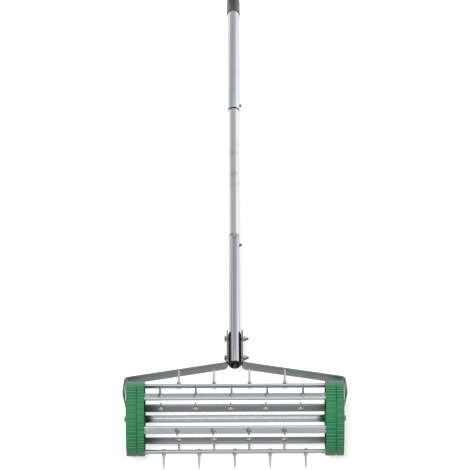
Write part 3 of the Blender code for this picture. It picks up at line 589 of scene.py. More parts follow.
zincTube = zincMaterial("zincTube")
zincBottomTube = zincMaterial("zincBottomTube", dark=(0.58, 0.605, 0.63), light=(0.70, 0.725, 0.755),
                              rough=(0.12, 0.18), seam=seam, marks=(darkVee,))
zincMiddleTube = zincMaterial("zincMiddleTube", dark=(0.79, 0.80, 0.795), light=(0.92, 0.93, 0.925),
                              stain=stain, marks=(mouthShade, shoulderShade))
zincAxle = zincMaterial(
    "zincAxle", lineTurn=alongAxle, dark=(0.66, 0.71, 0.72), light=(0.77, 0.83, 0.84), cloudContrast=0.4,
    edgeTint=(0.77, 0.83, 0.84),
    ends={**endShade, "from": 0.166, "inside": 0.0, "atWheel": 0.6, "tint": (0.07, 0.06, 0.05)})
zincBar = zincMaterial(
    "zincBar", lineTurn=alongAxle, dark=(0.60, 0.64, 0.66), light=(0.70, 0.745, 0.77), cloudContrast=0.5,
    rough=(0.34, 0.40),
    ends={**endShade, "from": 0.144, "inside": 0.46, "atWheel": 0.90, "tint": (0.10, 0.095, 0.09)})
zincStrip = zincMaterial(
    "zincStrip", lineTurn=alongAxle, dark=(0.275, 0.30, 0.31), light=(0.37, 0.40, 0.41),
    edgeTint=(0.66, 0.69, 0.70), rough=(0.38, 0.48), lineDepth=0.03, lineRun=12.0)
zincSpike = zincMaterial(
    "zincSpike", cloudSize=200.0, dark=(0.47, 0.46, 0.47), light=(0.66, 0.65, 0.66), rough=(0.20, 0.30),
    rimTint=(0.07, 0.07, 0.075), heads={"ring": 0.0607, "shaft": 0.0612, "tint": (0.80, 0.81, 0.80),
                                        "ringTint": (0.05, 0.05, 0.05), "metallic": 0.25})
# the fasteners' dark edge tint is painted shade that outlines them
zincFastener = zincMaterial(
    "zincFastener", cloudSize=260.0, dark=(0.38, 0.38, 0.38), light=(0.56, 0.56, 0.56), rough=(0.20, 0.32),
    lineDepth=0.02, rimTint=(0.08, 0.08, 0.085), edgeTint=(0.08, 0.08, 0.085), edgeReach=0.0008)
springSteel = zincMaterial(
    "springSteel", cloudSize=260.0, dark=(0.10, 0.10, 0.11), light=(0.26, 0.26, 0.27),
    edgeTint=(0.40, 0.40, 0.41), rough=(0.30, 0.42))

# painted highlight: the lighter edge tint and the lugs' light band; painted shade: the lugs' gap tone and the flat
# sides
greenPlastic = plasticMaterial(
    "greenPlastic", dark=(0.014, 0.188, 0.064), light=(0.022, 0.245, 0.088), edgeTint=(0.070, 0.36, 0.16),
    cloudSize=25.0, cloudContrast=0.5, edgeReach=0.0004, edgeBreakup=160.0, rough=(0.28, 0.36),
    grainSize=1500.0, grainDepth=0.02,
    lugs={"floor": 0.0702, "gapTop": 0.0709, "edge": 0.0711, "crown": 0.07192, "light": (0.080, 0.34, 0.165),
          "dirt": (0.011, 0.130, 0.047)},
    inward={"faces": 0.180, "tint": (0.012, 0.14, 0.046), "grazingTint": (0.0015, 0.012, 0.005)})
blackLook = {
    "dark": (0.012, 0.012, 0.013), "light": (0.022, 0.022, 0.024), "edgeTint": (0.055, 0.055, 0.058),
    "cloudSize": 60.0, "cloudContrast": 1.0, "edgeReach": 0.0004, "edgeBreakup": 300.0, "rough": (0.36, 0.50),
    "grainSize": 1800.0, "grainDepth": 0.10,
}
blackPlastic = plasticMaterial("blackPlastic", **blackLook)
capPlastic = plasticMaterial("capPlastic", **{**blackLook, "ior": 2.05, "rough": (0.26, 0.36)})
# painted light: the plug's up-facing inner faces are lighter grey
plugPlastic = plasticMaterial("plugPlastic", **{
    **blackLook, "dark": (0.006, 0.006, 0.007), "light": (0.012, 0.012, 0.013), "edgeTint": (0.10, 0.10, 0.11),
    "dust": (0.11, 0.115, 0.12)})
print("materials ready")


# Handle

handle = {
    "facets": 64, "rim": 0.00025, "bottomRadius": 0.0115, "bottomWall": 0.0012, "topRadius": 0.0125,
    "topWall": 0.0012, "middleRadius": 0.0110, "middleWall": 0.0010, "swageRadius": 0.0100, "swageTaper": 0.006,
    "swageSteps": 8, "swageAbove": 0.0015, "holeRadius": 0.0033,
}
button = {"radius": 0.0030, "edge": 0.0016, "foot": 0.0008, "dish": 0.0002, "stripThickness": 0.001}
cap = {"radius": 0.0136, "inside": 0.0128, "round": 0.0042, "skirt": 0.011, "step": 0.0002, "lip": 0.0020,
       "lipEdge": 0.0004, "shoulder": 0.001}
plug = {"rim": 0.0113, "rimEdge": 0.0009, "sleeve": 0.0100, "wall": 0.0014, "tipIn": 0.0008, "tipLength": 0.0012,
        "lipEdge": 0.0006, "floorEdge": 0.0010, "ribs": 12, "ribHalf": 0.0005, "ribDepth": 0.0012}
seatGap = 0.0003     # between a plastic part and the tube's end that it sits on


def middleHeight(name):
    low, high = toolBox(name)
    return ((low + high) / 2).z


def buttonHeight(side):
    # the button's tip is the node's outermost point along X
    return max(toolPoints(side + "_button"), key=lambda point: point.x).z


clampBolts = [(0, middleHeight(side + "_clamp_nut")) for side in ("lower", "upper")]


def straightTube(name, radius, wall):
    low, high = toolBox(name)
    return turned(tubeProfile(radius, radius - wall, low.z, high.z, handle["rim"]), handle["facets"])


def swagedTube():
    # the middle tube, its foot drawn in so that it slides into the bottom tube
    rim, wall, radius, swage = (handle[key] for key in ("rim", "middleWall", "middleRadius", "swageRadius"))
    low, high = toolBox("middle_tube")
    shoulder = toolBox("bottom_tube")[1].z + handle["swageAbove"]
    taperEnd = shoulder + handle["swageTaper"]
    easing = []
    for step in range(1, handle["swageSteps"]):
        share = step / handle["swageSteps"]
        ease = share * share * (3 - 2 * share)
        easing.append((swage + (radius - swage) * ease, shoulder + handle["swageTaper"] * share))
    outside = [(swage - rim, low.z), (swage, low.z + rim), (swage, shoulder), *easing, (radius, taperEnd),
               (radius, high.z - rim), (radius - rim, high.z)]
    inside = [(radius - wall, high.z), (radius - wall, taperEnd), *((r - wall, z) for r, z in reversed(easing)),
              (swage - wall, shoulder), (swage - wall, low.z)]
    return turned(outside + inside, handle["facets"])


def withHoles(tube, *sides):
    # the holes that the buttons stand in
    return combined(tube, pin(handle["holeRadius"], 0.004, 0.03, 32, [(0, buttonHeight(side)) for side in sides]))


def makeTubes():
    radius = handle["bottomRadius"]
    bottom = combined(straightTube("bottom_tube", radius, handle["bottomWall"]),
                      pin(handle["holeRadius"], -2 * radius, 2 * radius, 24, clampBolts))
    makePiece("bottomTube", withHoles(bottom, "lower"), "frame", zincBottomTube, "zinc_tube", "bottom_tube")
    makePiece("middleTube", withHoles(swagedTube(), "lower", "upper"), "frame", zincMiddleTube, "zinc_tube",
              "middle_tube")
    top = straightTube("top_tube", handle["topRadius"], handle["topWall"])
    makePiece("topTube", withHoles(top, "upper"), "frame", zincTube, "zinc_tube", "top_tube")


def makeButton(side):
    low, high = toolBox(side + "_button")
    radius, edge, dish, tip = button["radius"], button["edge"], button["dish"], high.x
    foot = low.x + button["foot"]
    profile = [(0, foot), (radius, foot), *arc((radius - edge, tip - edge), edge, 0, 55, 5)]
    profile += [(radius * 0.55 * (1 - k / 3) ** 0.5, tip - dish * (1 - k / 3)) for k in range(3)] + [(0, tip)]
    head = moved(turned(profile, 40, False, "X"), 0, 0, buttonHeight(side))
    strip = block(low.x, low.x + button["stripThickness"], low.y, high.y)
    strip = eased(prism(strip, low.z, high.z - low.z), 0.0003)
    makePiece(side + "Button", joined([head, strip], "button"), side + "_snap_button", springSteel, "spring_steel",
              side + "_button")


def makeCap():
    low, high = toolBox("end_cap")
    radius, inside, edge, step = cap["radius"], cap["inside"], cap["round"], cap["step"]
    lip, lipEdge = cap["lip"], cap["lipEdge"]
    seat, skirt = toolBox("top_tube")[1].z + seatGap, low.z - cap["skirt"]
    profile = [(0, seat), (inside, seat), (inside, skirt + lipEdge), (inside + step, skirt), (radius - step, skirt),
               (radius, skirt + step * 1.5), (radius, skirt + lip - lipEdge), (radius - step, skirt + lip),
               (radius - step, high.z - edge - cap["shoulder"])]
    profile += [(r - step, z) for r, z in arc((radius - edge, high.z - edge), edge, 0, 90, 10)]
    profile += [(radius * 0.4, high.z), (0, high.z)]
    makePiece("endCap", turned(profile, 64, False), "frame", capPlastic, "black_plastic", "end_cap")


def makePlug():
    low, high = toolBox("foot_plug")
    rim, sleeve, rimEdge, lipEdge, floorEdge = (plug[key] for key in (
        "rim", "sleeve", "rimEdge", "lipEdge", "floorEdge"))
    inside, bottom, half = sleeve - plug["wall"], high.z - plug["wall"], plug["ribHalf"]
    seat = toolBox("bottom_tube")[0].z - seatGap
    profile = [(0, high.z), (sleeve - plug["tipIn"], high.z), (sleeve, high.z - plug["tipLength"]), (sleeve, seat),
               (rim, seat)]
    profile += arc((rim - rimEdge, low.z + rimEdge), rimEdge, 0, -90, 5)
    profile += arc((inside + lipEdge, low.z + lipEdge), lipEdge, -90, -180, 4)
    profile += arc((inside - floorEdge, bottom - floorEdge), floorEdge, 0, 90, 4) + [(0.002, bottom), (0, bottom)]
    rib = prism(block(inside - plug["ribDepth"], inside + 0.0003, -half, half), low.z + 0.0004, bottom - low.z)
    ribs = [turnedAbout(rib.copy(), 2 * math.pi * k / plug["ribs"], "Z") for k in range(plug["ribs"])]
    makePiece("footPlug", joined([turned(profile, 64, False), *ribs], "plug"), "frame", plugPlastic,
              "black_plastic", "foot_plug")


makeTubes()
makeButton("lower")
makeButton("upper")
makeCap()
makePlug()
print("handle ready")


# Bracket and clamp

bracket = {
    "thickness": 0.003, "width": 0.020, "edge": 0.0005, "bendSteps": 14,
    "slope": math.radians(11.2), "rootRadius": 0.0095, "cornerRadius": 0.0080, "joggleRadius": 0.015,
    "bulgeRadius": 0.075, "cornerOut": 0.0059, "bulgeOut": 0.0095, "bulgeBelowCorner": 0.0448,
    "joggleLength": 0.0311, "plateEndRadius": 0.0098, "clampEndRadius": 0.0035, "clampX": 0.0147,
    "overSpike": 0.1105, "outerSpikeX": 0.1452, "sideX": 0.2080, "holeRadius": 0.0033, "lean": 0.13,
    "leanFrom": 0.006,
}
saddle = {"inner": 0.0118, "outer": 0.0129, "halfAngle": math.radians(46), "flare": math.radians(18),
          "flareSteps": 8, "steps": 24, "edge": 0.0003}


def armHeight(x):
    slope = bracket["slope"]
    middle = bracket["overSpike"] + bracket["thickness"] / 2 / math.cos(slope)
    return middle + (bracket["outerSpikeX"] - x) * math.tan(slope)


def bentStrip(corners, radii, thickness, steps):
    # closed outline of a bent strip whose middle line runs through the corners
    points = [Vector(corner) for corner in corners]
    near, far = [], []

    def addPair(point, direction):
        across = Vector((-direction.y, direction.x)) * thickness / 2
        near.append(point + across)
        far.append(point - across)

    addPair(points[0], (points[1] - points[0]).normalized())
    for before, corner, after, radius in zip(points, points[1:], points[2:], radii):
        incoming, outgoing = (corner - before).normalized(), (after - corner).normalized()
        turn = incoming.angle_signed(outgoing)
        start = corner - incoming * radius * math.tan(abs(turn) / 2)
        centre = start + Vector((incoming.y, -incoming.x)) * math.copysign(radius, turn)
        for step in range(steps + 1):
            spin = Matrix.Rotation(-turn * step / steps, 2)
            addPair(centre + spin @ (start - centre), spin @ incoming)
    addPair(points[-1], (points[-1] - points[-2]).normalized())
    return [tuple(point) for point in near + far[::-1]]


def roundedEnd(mesh, height, radius):
    bm = bmesh.new()
    bm.from_mesh(mesh)
    edges = [edge for edge in bm.edges
             if all(abs(vert.co.z - height) < 1e-5 for vert in edge.verts)
             and abs(edge.verts[0].co.y - edge.verts[1].co.y) < 1e-5]
    bmesh.ops.bevel(bm, geom=edges, offset=radius, segments=12, profile=0.5, affect="EDGES")
    bm.to_mesh(mesh)
    bm.free()


def makeBrackets():
    b = bracket
    clampTop = toolBox("right_bracket")[1].z
    cornerX, width = b["sideX"] + b["cornerOut"], b["width"]
    bulgeZ = armHeight(cornerX) - b["bulgeBelowCorner"]
    corners = [(b["clampX"], clampTop), (b["clampX"], armHeight(b["clampX"])), (cornerX, armHeight(cornerX)),
               (b["sideX"] + b["bulgeOut"], bulgeZ), (b["sideX"], bulgeZ - b["joggleLength"]),
               (b["sideX"], -width / 2)]
    radii = [b[key + "Radius"] for key in ("root", "corner", "bulge", "joggle")]
    strip = turnedAbout(prism(bentStrip(corners, radii, b["thickness"], b["bendSteps"]), -width / 2, width),
                        math.pi / 2, "X")
    roundedEnd(strip, -width / 2, b["plateEndRadius"])
    roundedEnd(strip, clampTop, b["clampEndRadius"])
    strip = combined(strip, pin(b["holeRadius"], 0, 0.03, 32, clampBolts))
    strip = eased(combined(strip, pin(b["holeRadius"], 0.19, 0.24, 32)), b["edge"], 3)
    for name, side, mesh in (("left", -1, turnedAbout(strip.copy(), math.pi, "Z")), ("right", 1, strip)):
        # beside the wheel the strip leans in towards the floor, so that its inner face shows
        for vertex in mesh.vertices:
            below = bulgeZ - vertex.co.z
            lean = 1 - max(below / b["joggleLength"], -below / b["bulgeBelowCorner"]) ** 2
            vertex.co.x -= side * max(0, lean) * b["lean"] * (vertex.co.y + b["leanFrom"])
        makePiece(name + "Bracket", mesh, "frame", zincStrip, "zinc_strip", name + "_bracket")


def makeSaddles():
    # a half sleeve of plastic on each side of the tube, flared at its foot where the strips bend away
    s, rootRadius, slope = saddle, bracket["rootRadius"], bracket["slope"]
    top = toolBox("right_saddle")[1].z
    rootZ = armHeight(bracket["clampX"] + rootRadius * (1 - math.sin(slope)))
    rootZ += rootRadius * math.cos(slope)
    bend = bracket["clampX"] + rootRadius
    angles = [s["flare"] * step / s["flareSteps"] for step in range(s["flareSteps"] + 1)]
    outside, inside = ([(bend - (bend - r) * math.cos(angle), rootZ - (bend - r) * math.sin(angle))
                        for angle in angles] for r in (s["outer"], s["inner"]))
    section = [(s["inner"], top), (s["outer"], top)] + outside + inside[::-1]
    turns = [s["halfAngle"] * (2 * k / s["steps"] - 1) for k in range(s["steps"] + 1)]
    mesh = eased(lofted([[(r * math.cos(turn), r * math.sin(turn), z) for r, z in section] for turn in turns],
                        "saddle"), s["edge"], 2, 50)
    for name, sleeve in (("left", turnedAbout(mesh.copy(), math.pi, "Z")), ("right", mesh)):
        makePiece(name + "Saddle", sleeve, "frame", blackPlastic, "black_plastic", name + "_saddle")


fastener = {
    "flats": 0.010, "headHeight": 0.0040, "threadRadius": 0.0030, "pitch": 0.0010, "threadDepth": 0.00055,
    "perPitch": 6, "tipLength": 0.0007, "tipTaper": 0.9, "chamfer": 0.00056, "faceShare": 0.97, "facets": 24,
    "nutTurn": math.radians(12),
}


def hexBody(height, bothEnds=False):
    # a hexagon with its corners turned off, along X from 0
    flats, drop = fastener["flats"], fastener["chamfer"]
    radius, face = flats / math.sqrt(3), flats / 2 * fastener["faceShare"]
    corner = radius + 0.0002
    foot = [(0, -0.0001), (face, -0.0001), (corner, drop)] if bothEnds else [(0, -0.0001), (corner, -0.0001)]
    cone = foot + [(corner, height - drop), (face, height), (0, height)]
    hexagon = [(radius * math.cos(math.pi / 3 * k), radius * math.sin(math.pi / 3 * k)) for k in range(6)]
    body = turnedAbout(prism(hexagon, 0, height), math.pi / 2, "Y")
    return combined(body, turned(cone, 48, False, "X"), "INTERSECT")


def threadedShank(start, plainTo, end):
    # a shank along X, plain from start to plainTo, then a rolled helical thread with a turned-off tip
    radius, pitch, depth = fastener["threadRadius"], fastener["pitch"], fastener["threadDepth"]
    around = fastener["facets"]
    count = int((end - plainTo) / pitch * fastener["perPitch"])
    stations = [(start, False), (plainTo, False)]
    stations += [(plainTo + (end - plainTo) * (k + 1) / count, True) for k in range(count)]
    rings = []
    for x, threaded in stations:
        ring = []
        for step in range(around):
            angle, r = 2 * math.pi * step / around, radius
            if threaded:
                wave = abs(((x / pitch - step / around) % 1.0) * 2 - 1)
                r = radius - depth * (1 - wave) - max(0.0, fastener["tipLength"] - (end - x)) * fastener["tipTaper"]
            ring.append((x, r * math.cos(angle), r * math.sin(angle)))
        rings.append(ring)
    return lofted(rings, "shank")


def makeFastener(name, mesh):
    node = "".join("_" + letter.lower() if letter.isupper() else letter for letter in name)
    makePiece(name, mesh, "frame", zincFastener, "zinc_fastener", node)


def makeClampFasteners():
    headHeight = fastener["headHeight"]
    for side in ("lower", "upper"):
        low, high = toolBox(side + "_clamp_bolt")
        z, seat = (low.z + high.z) / 2, low.x + headHeight
        head = moved(turnedAbout(hexBody(headHeight), math.pi, "Z"), seat, 0, z)
        nutLow, nutHigh = toolBox(side + "_clamp_nut")
        shank = moved(threadedShank(seat - 0.001, nutLow.x - 0.004, high.x), 0, 0, z)
        makeFastener(side + "ClampBolt", joined([head, shank], "bolt"))
        nut = combined(hexBody(nutHigh.x - nutLow.x, True), pin(fastener["threadRadius"] + 0.0001, -0.01, 0.02, 24))
        makeFastener(side + "ClampNut", moved(turnedAbout(nut, fastener["nutTurn"], "X"), nutLow.x, 0, z))


makeBrackets()
makeSaddles()
makeClampFasteners()
print("bracket and clamp ready")


# Axle

axle = {"radius": 0.0075, "wall": 0.0015, "rim": 0.0003, "clearance": 0.0003, "insertRim": 0.0002}


def makeAxle():
    low, high = toolBox("axle_tube")
    bore = axle["radius"] - axle["wall"]
    tube = turned(tubeProfile(axle["radius"], bore, low.x, high.x, axle["rim"]), 64, True, "X")
    makePiece("axleTube", tube, "frame", zincAxle, "zinc_tube", "axle_tube")
    for side, turn in (("right", 0), ("left", math.pi)):
        inner, outer = sorted(abs(corner.x) for corner in toolBox(side + "_axle_bolt"))
        seat = outer - fastener["headHeight"]
        head = moved(hexBody(fastener["headHeight"]), seat, 0, 0)
        bolt = joined([head, threadedShank(inner, inner + 0.001, seat + 0.001)], "bolt")
        makeFastener(side + "AxleBolt", turnedAbout(bolt, turn, "Z"))
        low, high = toolBox(side + "_axle_insert")
        insert = tubeProfile(bore - axle["clearance"], fastener["threadRadius"] + axle["clearance"],
                             low.x, high.x, axle["insertRim"])
        makeFastener(side + "AxleInsert", turned(insert, 48, True, "X"))


makeAxle()
print("axle ready")


# Wheels

wheel = {
    "innerFace": 0.174, "width": 0.0355, "radius": 0.072, "coreRadius": 0.0704, "rimInner": 0.0685,
    "grooveWidth": 0.0020, "grooveShift": 0.003, "lugs": 30, "lugGap": 0.0030, "lugRound": 0.0005,
    "gapDepth": 0.0014, "lineHalf": 0.0010, "lineDepth": 0.0008, "facets": 120,
    "webRecess": 0.001, "webThickness": 0.003, "sideStep": 0.0005, "hubRadius": 0.0130, "bore": 0.0078,
    "hubInner": 0.0012, "hubRecess": 0.0037, "fillet": 0.0014, "edge": 0.0005, "hubEdge": 0.0006,
    "boreEdge": 0.0004, "rimEdge": 0.0003, "draft": 0.0004,
    "ribThickness": 0.0025, "ribDepth": 0.020, "socketWall": 0.0020, "seat": 0.012, "seatGap": 0.0003,
    "tongueLength": 0.0085,
}
bars = {"count": 6, "width": 0.016, "thickness": 0.007, "wall": 0.0011, "outer": 0.068, "seatLength": 0.012}
firstRow = -math.pi + math.pi / bars["count"]
rowStep = 2 * math.pi / bars["count"]


def rowTurn(index):
    return -(firstRow + index * rowStep)


def lugMesh(start, length):
    # one lug of the tread on the +Z side, with eased edges and half of the V-shaped gap on each side
    pitch, soft, top = 2 * math.pi / wheel["lugs"], wheel["lugRound"], wheel["radius"]
    halfTop = pitch / 2 - wheel["lugGap"] / 2 / top
    valley = top - wheel["gapDepth"]
    half = [(pitch / 2, wheel["coreRadius"] - 0.0003), (pitch / 2, valley)]
    half += [(halfTop + soft / top * (0.5 - run), top - soft * 0.45 * (1 - run) ** 2) for run in (0.0, 0.35, 0.7, 1.0)]
    half += [(halfTop * 0.6, top), (halfTop * 0.3, top), (wheel["lineHalf"] / top, top),
             (0.0, top - wheel["lineDepth"])]
    outline = half + [(-angle, radius) for angle, radius in half[-2::-1]]
    ease = ((0.0, 1.0), (0.3, 0.45), (0.65, 0.13), (1.0, 0.0))
    stations = [(start + soft * run, drop) for run, drop in ease]
    stations += [(start + length - soft * run, drop) for run, drop in reversed(ease)]
    sections = []
    for x, drop in stations:
        lowered = [(angle, radius - soft * drop if radius > valley - 1e-6 else radius) for angle, radius in outline]
        sections.append([(x, radius * math.sin(angle), radius * math.cos(angle)) for angle, radius in lowered])
    return lofted(sections, "lug")


def wheelCoreMesh():
    w, fillet, edge, hubEdge = wheel, wheel["fillet"], wheel["edge"], wheel["hubEdge"]
    bore, hub, rim, core, hubIn, low, boreEdge, rimEdge, draft = (w[key] for key in (
        "bore", "hubRadius", "rimInner", "coreRadius", "hubInner", "sideStep", "boreEdge", "rimEdge", "draft"))
    webIn, webOut = w["webRecess"], w["webRecess"] + w["webThickness"]
    high, hubOut = w["width"] - low, w["width"] - w["hubRecess"]
    profile = [(bore, -hubIn + boreEdge), (bore + boreEdge, -hubIn)]
    profile += arc((hub - hubEdge, -hubIn + hubEdge), hubEdge, -90, 0, 3)
    profile += arc((hub + fillet, webIn - fillet), fillet, 180, 90, 4)
    profile += [(rim - 0.0008, webIn), (rim, webIn - 0.0002), (rim + 0.0002, low)]
    profile += arc((core - edge, low + edge), edge, -90, 0, 3) + arc((core - edge, high - edge), edge, 0, 90, 3)
    profile += [(rim + rimEdge, high), (rim, high - rimEdge)]
    profile += arc((rim - draft - fillet, webOut + fillet), fillet, 0, -90, 4)
    profile += arc((hub + draft + fillet, webOut + fillet), fillet, 270, 180, 4)
    profile += arc((hub - hubEdge, hubOut - hubEdge), hubEdge, 0, 90, 3)
    profile += [(bore + boreEdge, hubOut), (bore, hubOut - boreEdge)]
    return turned(profile, w["facets"], True, "X")


def atEachBar(mesh, turn=rowTurn(0)):
    return repeated(ringOf, mesh, greenPlastic, bars["count"], turn)


def barOval(growth, start, end, steps=10):
    outline = flatOval(bars["width"] + growth, bars["thickness"] + growth, bars["outer"] - bars["thickness"] / 2, steps)
    return outwardPrism(outline, start, end - start)


def wheelBodyMesh():
    # rim band, web and hub with the six sockets, their pockets, the tongues inside the bars and the ribs
    w, wall, gap = wheel, wheel["socketWall"], wheel["seatGap"]
    webMiddle, seat = w["webRecess"] + w["webThickness"] / 2, w["seat"] + gap
    socket = eased(barOval(2 * (gap + wall), webMiddle, seat + wall), 0.0006, angle=60)
    body = combined(wheelCoreMesh(), atEachBar(socket), "UNION")
    body = combined(body, atEachBar(barOval(2 * gap, w["webRecess"] - 0.0006, seat)))
    tongue = eased(barOval(-2 * (bars["wall"] + gap), -w["tongueLength"], seat + wall / 2), 0.0008, segments=3)
    half = w["ribThickness"] / 2
    rib = outwardPrism(block(-half, half, w["hubRadius"] - 0.001, w["rimInner"] + 0.0005), webMiddle, w["ribDepth"])
    return joined([body, atEachBar(tongue), atEachBar(eased(rib, 0.0006), rowTurn(0) + rowStep / 2)], "body")


def treadMesh(shift):
    # two rings of lugs, half a lug apart; shift moves the groove between them outwards
    width, groove, count = wheel["width"], wheel["grooveWidth"], wheel["lugs"]
    inner = (width - groove) / 2 + shift
    return joined([repeated(ringOf, lugMesh(start, length), greenPlastic, count, turn) for start, length, turn in (
        (0.0, inner, 0.0), (inner + groove, width - groove - inner, math.pi / count))], "tread")


def makeWheels():
    body = wheelBodyMesh()
    for side, way, turn in (("right", 1, 0.0), ("left", -1, math.pi)):
        whole = turnedAbout(joined([body.copy(), treadMesh(way * wheel["grooveShift"])], "wheel"), turn, "Z")
        makePiece(side + "Wheel", moved(whole, way * wheel["innerFace"], 0, 0), "drum", greenPlastic,
                  "green_plastic", side + "_wheel")


makeWheels()
print("wheels ready")


# Bars, their screws and the spikes

spikes = {
    "rows": ((4, -0.0078), (5, -0.0064), (4, -0.0058), (5, -0.0084), (4, -0.0070), (5, -0.0008)),
    "spacing": 0.0684, "tip": 0.100, "pointLength": 0.006, "pointRadius": 0.0016, "shank": 0.0023,
    "collar": 0.0052, "collarLength": 0.0080, "flareSteps": 8, "stem": 0.0022, "head": 0.0040,
    "headHeight": 0.0024, "headEdge": 0.0003, "ring": 0.0054, "ringHeight": 0.0002, "facets": 24,
}
barScrew = {"inset": 0.005, "radius": 0.0040, "height": 0.0013, "recess": 0.0022, "recessWidth": 0.0009,
            "recessDepth": 0.0008, "recessTurn": math.radians(25)}


def barMesh():
    half = wheel["innerFace"] + bars["seatLength"]
    return combined(barOval(0, -half, half, 12), barOval(-2 * bars["wall"], -half - 0.01, half + 0.01, 12))


def spikeMesh():
    s = spikes
    seat, headSeat = bars["outer"] + 0.0001, bars["outer"] - bars["thickness"] - 0.0001
    profile = [(0, s["tip"]), (0.0004, s["tip"] - 0.0006), (s["pointRadius"], s["tip"] - s["pointLength"])]
    for step in range(s["flareSteps"] + 1):
        share = step / s["flareSteps"]
        radius = s["shank"] + (s["collar"] - s["shank"]) * share ** 1.6
        profile.append((radius, seat + s["collarLength"] * (1 - share)))
    profile += [(s["collar"] - 0.0001, seat), (s["stem"], seat), (s["stem"], headSeat), (s["ring"], headSeat)]
    headSeat -= s["ringHeight"]
    shoulder, dome = headSeat - s["headEdge"], s["headHeight"] - s["ringHeight"] - s["headEdge"]
    profile += [(s["ring"], headSeat), (s["head"], headSeat), (s["head"], shoulder)]
    profile += [(s["head"] * math.cos(math.pi / 2 * step / 6), shoulder - dome * math.sin(math.pi / 2 * step / 6))
                for step in range(1, 6)]
    return turned(profile + [(0, shoulder - dome)], s["facets"], False)


def barScrewMesh():
    # a low pan head with a cross recess, on a bar's outer face near its end
    b, seat = barScrew, bars["outer"] + 0.00005
    dome = [(b["radius"] * math.cos(angle), seat + b["height"] * (0.35 + 0.65 * math.sin(angle)))
            for angle in [math.pi / 2 * k / 6 for k in range(6)]]
    head = turned([(0, seat), (b["radius"], seat), *dome, (0, seat + b["height"])], 32, False)
    half = b["recessWidth"] / 2
    for turn in (0, math.pi / 2):
        slot = prism(block(-b["recess"], b["recess"], -half, half), seat + b["height"] - b["recessDepth"], 0.002)
        head = combined(head, turnedAbout(slot, turn + b["recessTurn"], "Z"))
    return head


def makeRows():
    for index, (count, offset) in enumerate(spikes["rows"]):
        turn, row = rowTurn(index), str(index + 1)
        makePiece("bar" + row, turnedAbout(barMesh(), turn, "X"), "drum", zincBar, "zinc_tube", "bar_" + row)
        line = repeated(rowOf, spikeMesh(), zincSpike, count, spikes["spacing"], offset)
        makePiece("spikeRow" + row, turnedAbout(line, turn, "X"), "drum", zincSpike, "zinc_spike",
                  *(f"spike_{row}_{place + 1}" for place in range(count)))
    pair = repeated(rowOf, barScrewMesh(), zincBar, 2, 2 * (wheel["innerFace"] - barScrew["inset"]), 0.0)
    makePiece("barScrews", repeated(ringOf, pair, zincBar, bars["count"], rowTurn(0)), "drum", zincBar,
              "zinc_fastener")


makeRows()
print("bars and spikes ready")

for name in ("upper_clip", "lower_clip"):
    nodes[name].data.materials.clear()
    nodes[name].data.materials.append(springSteel)


# Floor, light and camera

studio = {
    "floorSize": 60.0, "floorSeen": 1.0, "floorBounce": 0.25, "floorLift": 0.62,
    "floorFront": 0.55, "floorBack": 1.0, "floorFade": (-0.75, -0.10),
    "sky": 0.24, "roomDark": 0.46,
}
# what polished metal sees: which way, from where to where along it, and how bright there
room = (
    {"way": (0, 0, -1), "fade": (-0.30, -0.08), "light": 0.90},      # pale down to the horizon
    {"way": (1, 0, 0), "fade": (0.00, 0.80), "light": 1.30},         # window wall on the right
    {"way": (0, -1, 0), "fade": (-0.05, 0.30), "light": 0.55},       # front wall, behind the camera
    {"way": (0, -0.60, 0.80), "fade": (0.80, 0.96), "light": 1.00},  # upper front
    {"way": (0, 0.0, 1.0), "fade": (0.79, 0.87), "light": 1.20},     # overhead panel
)
lamp = {"at": (-0.95, -3.6, 6.1), "aim": (0, -0.3, 0.08), "size": 2.3, "power": 330.0}
cameraPlace = {
    "at": (0.00158604, -5.09849375, 6.17781673), "down": math.radians(50.48633), "roll": math.radians(-0.26908),
    "lens": 300.92245,
}


def emptyTree(owner):
    owner.use_nodes = True
    owner.node_tree.nodes.clear()
    return owner.node_tree


def onlookers(tree):
    # rays from the camera, straight or through glass, and rays from polished metal
    ray = putNode(tree, "ShaderNodeLightPath").outputs
    return mathOf(tree, "MAXIMUM", ray["Is Camera Ray"], ray["Is Transmission Ray"]), ray["Is Glossy Ray"]


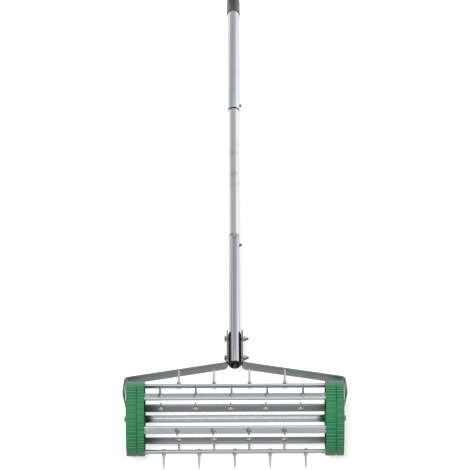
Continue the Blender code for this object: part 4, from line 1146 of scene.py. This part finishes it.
def makeFloor():
    mesh = bpy.data.meshes.new("floor")
    half = studio["floorSize"] / 2
    mesh.from_pydata([(x, y, 0.0) for x, y in block(-half, half, -half, half)], [], [(0, 1, 2, 3)])
    floor = placed("floor", mesh)
    floor.location.z = -0.0002
    material = bpy.data.materials.new("paleFloor")
    tree = emptyTree(material)
    direct, glossy = onlookers(tree)
    shade = ranged(tree, direct, 0, 1, studio["floorBounce"], studio["floorSeen"])
    diffuse = putNode(tree, "ShaderNodeBsdfDiffuse", {"Color": valueMix(tree, glossy, shade, 0.0)})
    inMetal = ranged(tree, part(tree, objectPlace(tree), "Y"), *studio["floorFade"], studio["floorFront"],
                     studio["floorBack"])
    lift = valueMix(tree, glossy, mathOf(tree, "MULTIPLY", direct, studio["floorLift"]), inMetal)
    glow = putNode(tree, "ShaderNodeEmission", {"Strength": lift})
    both = putNode(tree, "ShaderNodeAddShader", {0: diffuse.outputs[0], 1: glow.outputs[0]})
    putNode(tree, "ShaderNodeOutputMaterial", {"Surface": both.outputs[0]})
    mesh.materials.append(material)


def makeWorld():
    world = bpy.data.worlds.new("studio")
    bpy.context.scene.world = world
    tree = emptyTree(world)
    looking = putNode(tree, "ShaderNodeTexCoord").outputs["Generated"]
    seen = studio["roomDark"]
    for wall in room:
        along = vectorMath(tree, "DOT_PRODUCT", looking, wall["way"], output="Value")
        seen = mathOf(tree, "MAXIMUM", seen, ranged(tree, along, *wall["fade"], 0.0, wall["light"]))
    direct, glossy = onlookers(tree)
    strength = valueMix(tree, direct, valueMix(tree, glossy, studio["sky"], seen), 1.0)
    light = putNode(tree, "ShaderNodeBackground", {"Color": (1, 1, 1, 1), "Strength": strength})
    putNode(tree, "ShaderNodeOutputWorld", {"Surface": light.outputs[0]})


def makeLamp():
    data = bpy.data.lights.new("key", "AREA")
    data.shape, data.size, data.energy = "DISK", lamp["size"], lamp["power"]
    holder = placed("key", data)
    holder.location = lamp["at"]
    holder.rotation_mode = "QUATERNION"
    holder.rotation_quaternion = (Vector(lamp["aim"]) - Vector(lamp["at"])).to_track_quat("-Z", "Y")
    holder.visible_glossy = False


def makeCamera():
    data = bpy.data.cameras.new("camera")
    data.lens, data.sensor_width = cameraPlace["lens"], 36.0
    data.clip_start, data.clip_end = 0.1, 100.0
    camera = placed("camera", data)
    camera.matrix_world = (Matrix.Translation(cameraPlace["at"])
                           @ Matrix.Rotation(math.pi / 2 - cameraPlace["down"], 4, "X")
                           @ Matrix.Rotation(cameraPlace["roll"], 4, "Z"))
    bpy.context.scene.camera = camera


makeFloor()
makeWorld()
makeLamp()
makeCamera()
bpy.context.scene.view_settings.view_transform = "Standard"

print("scene ready")
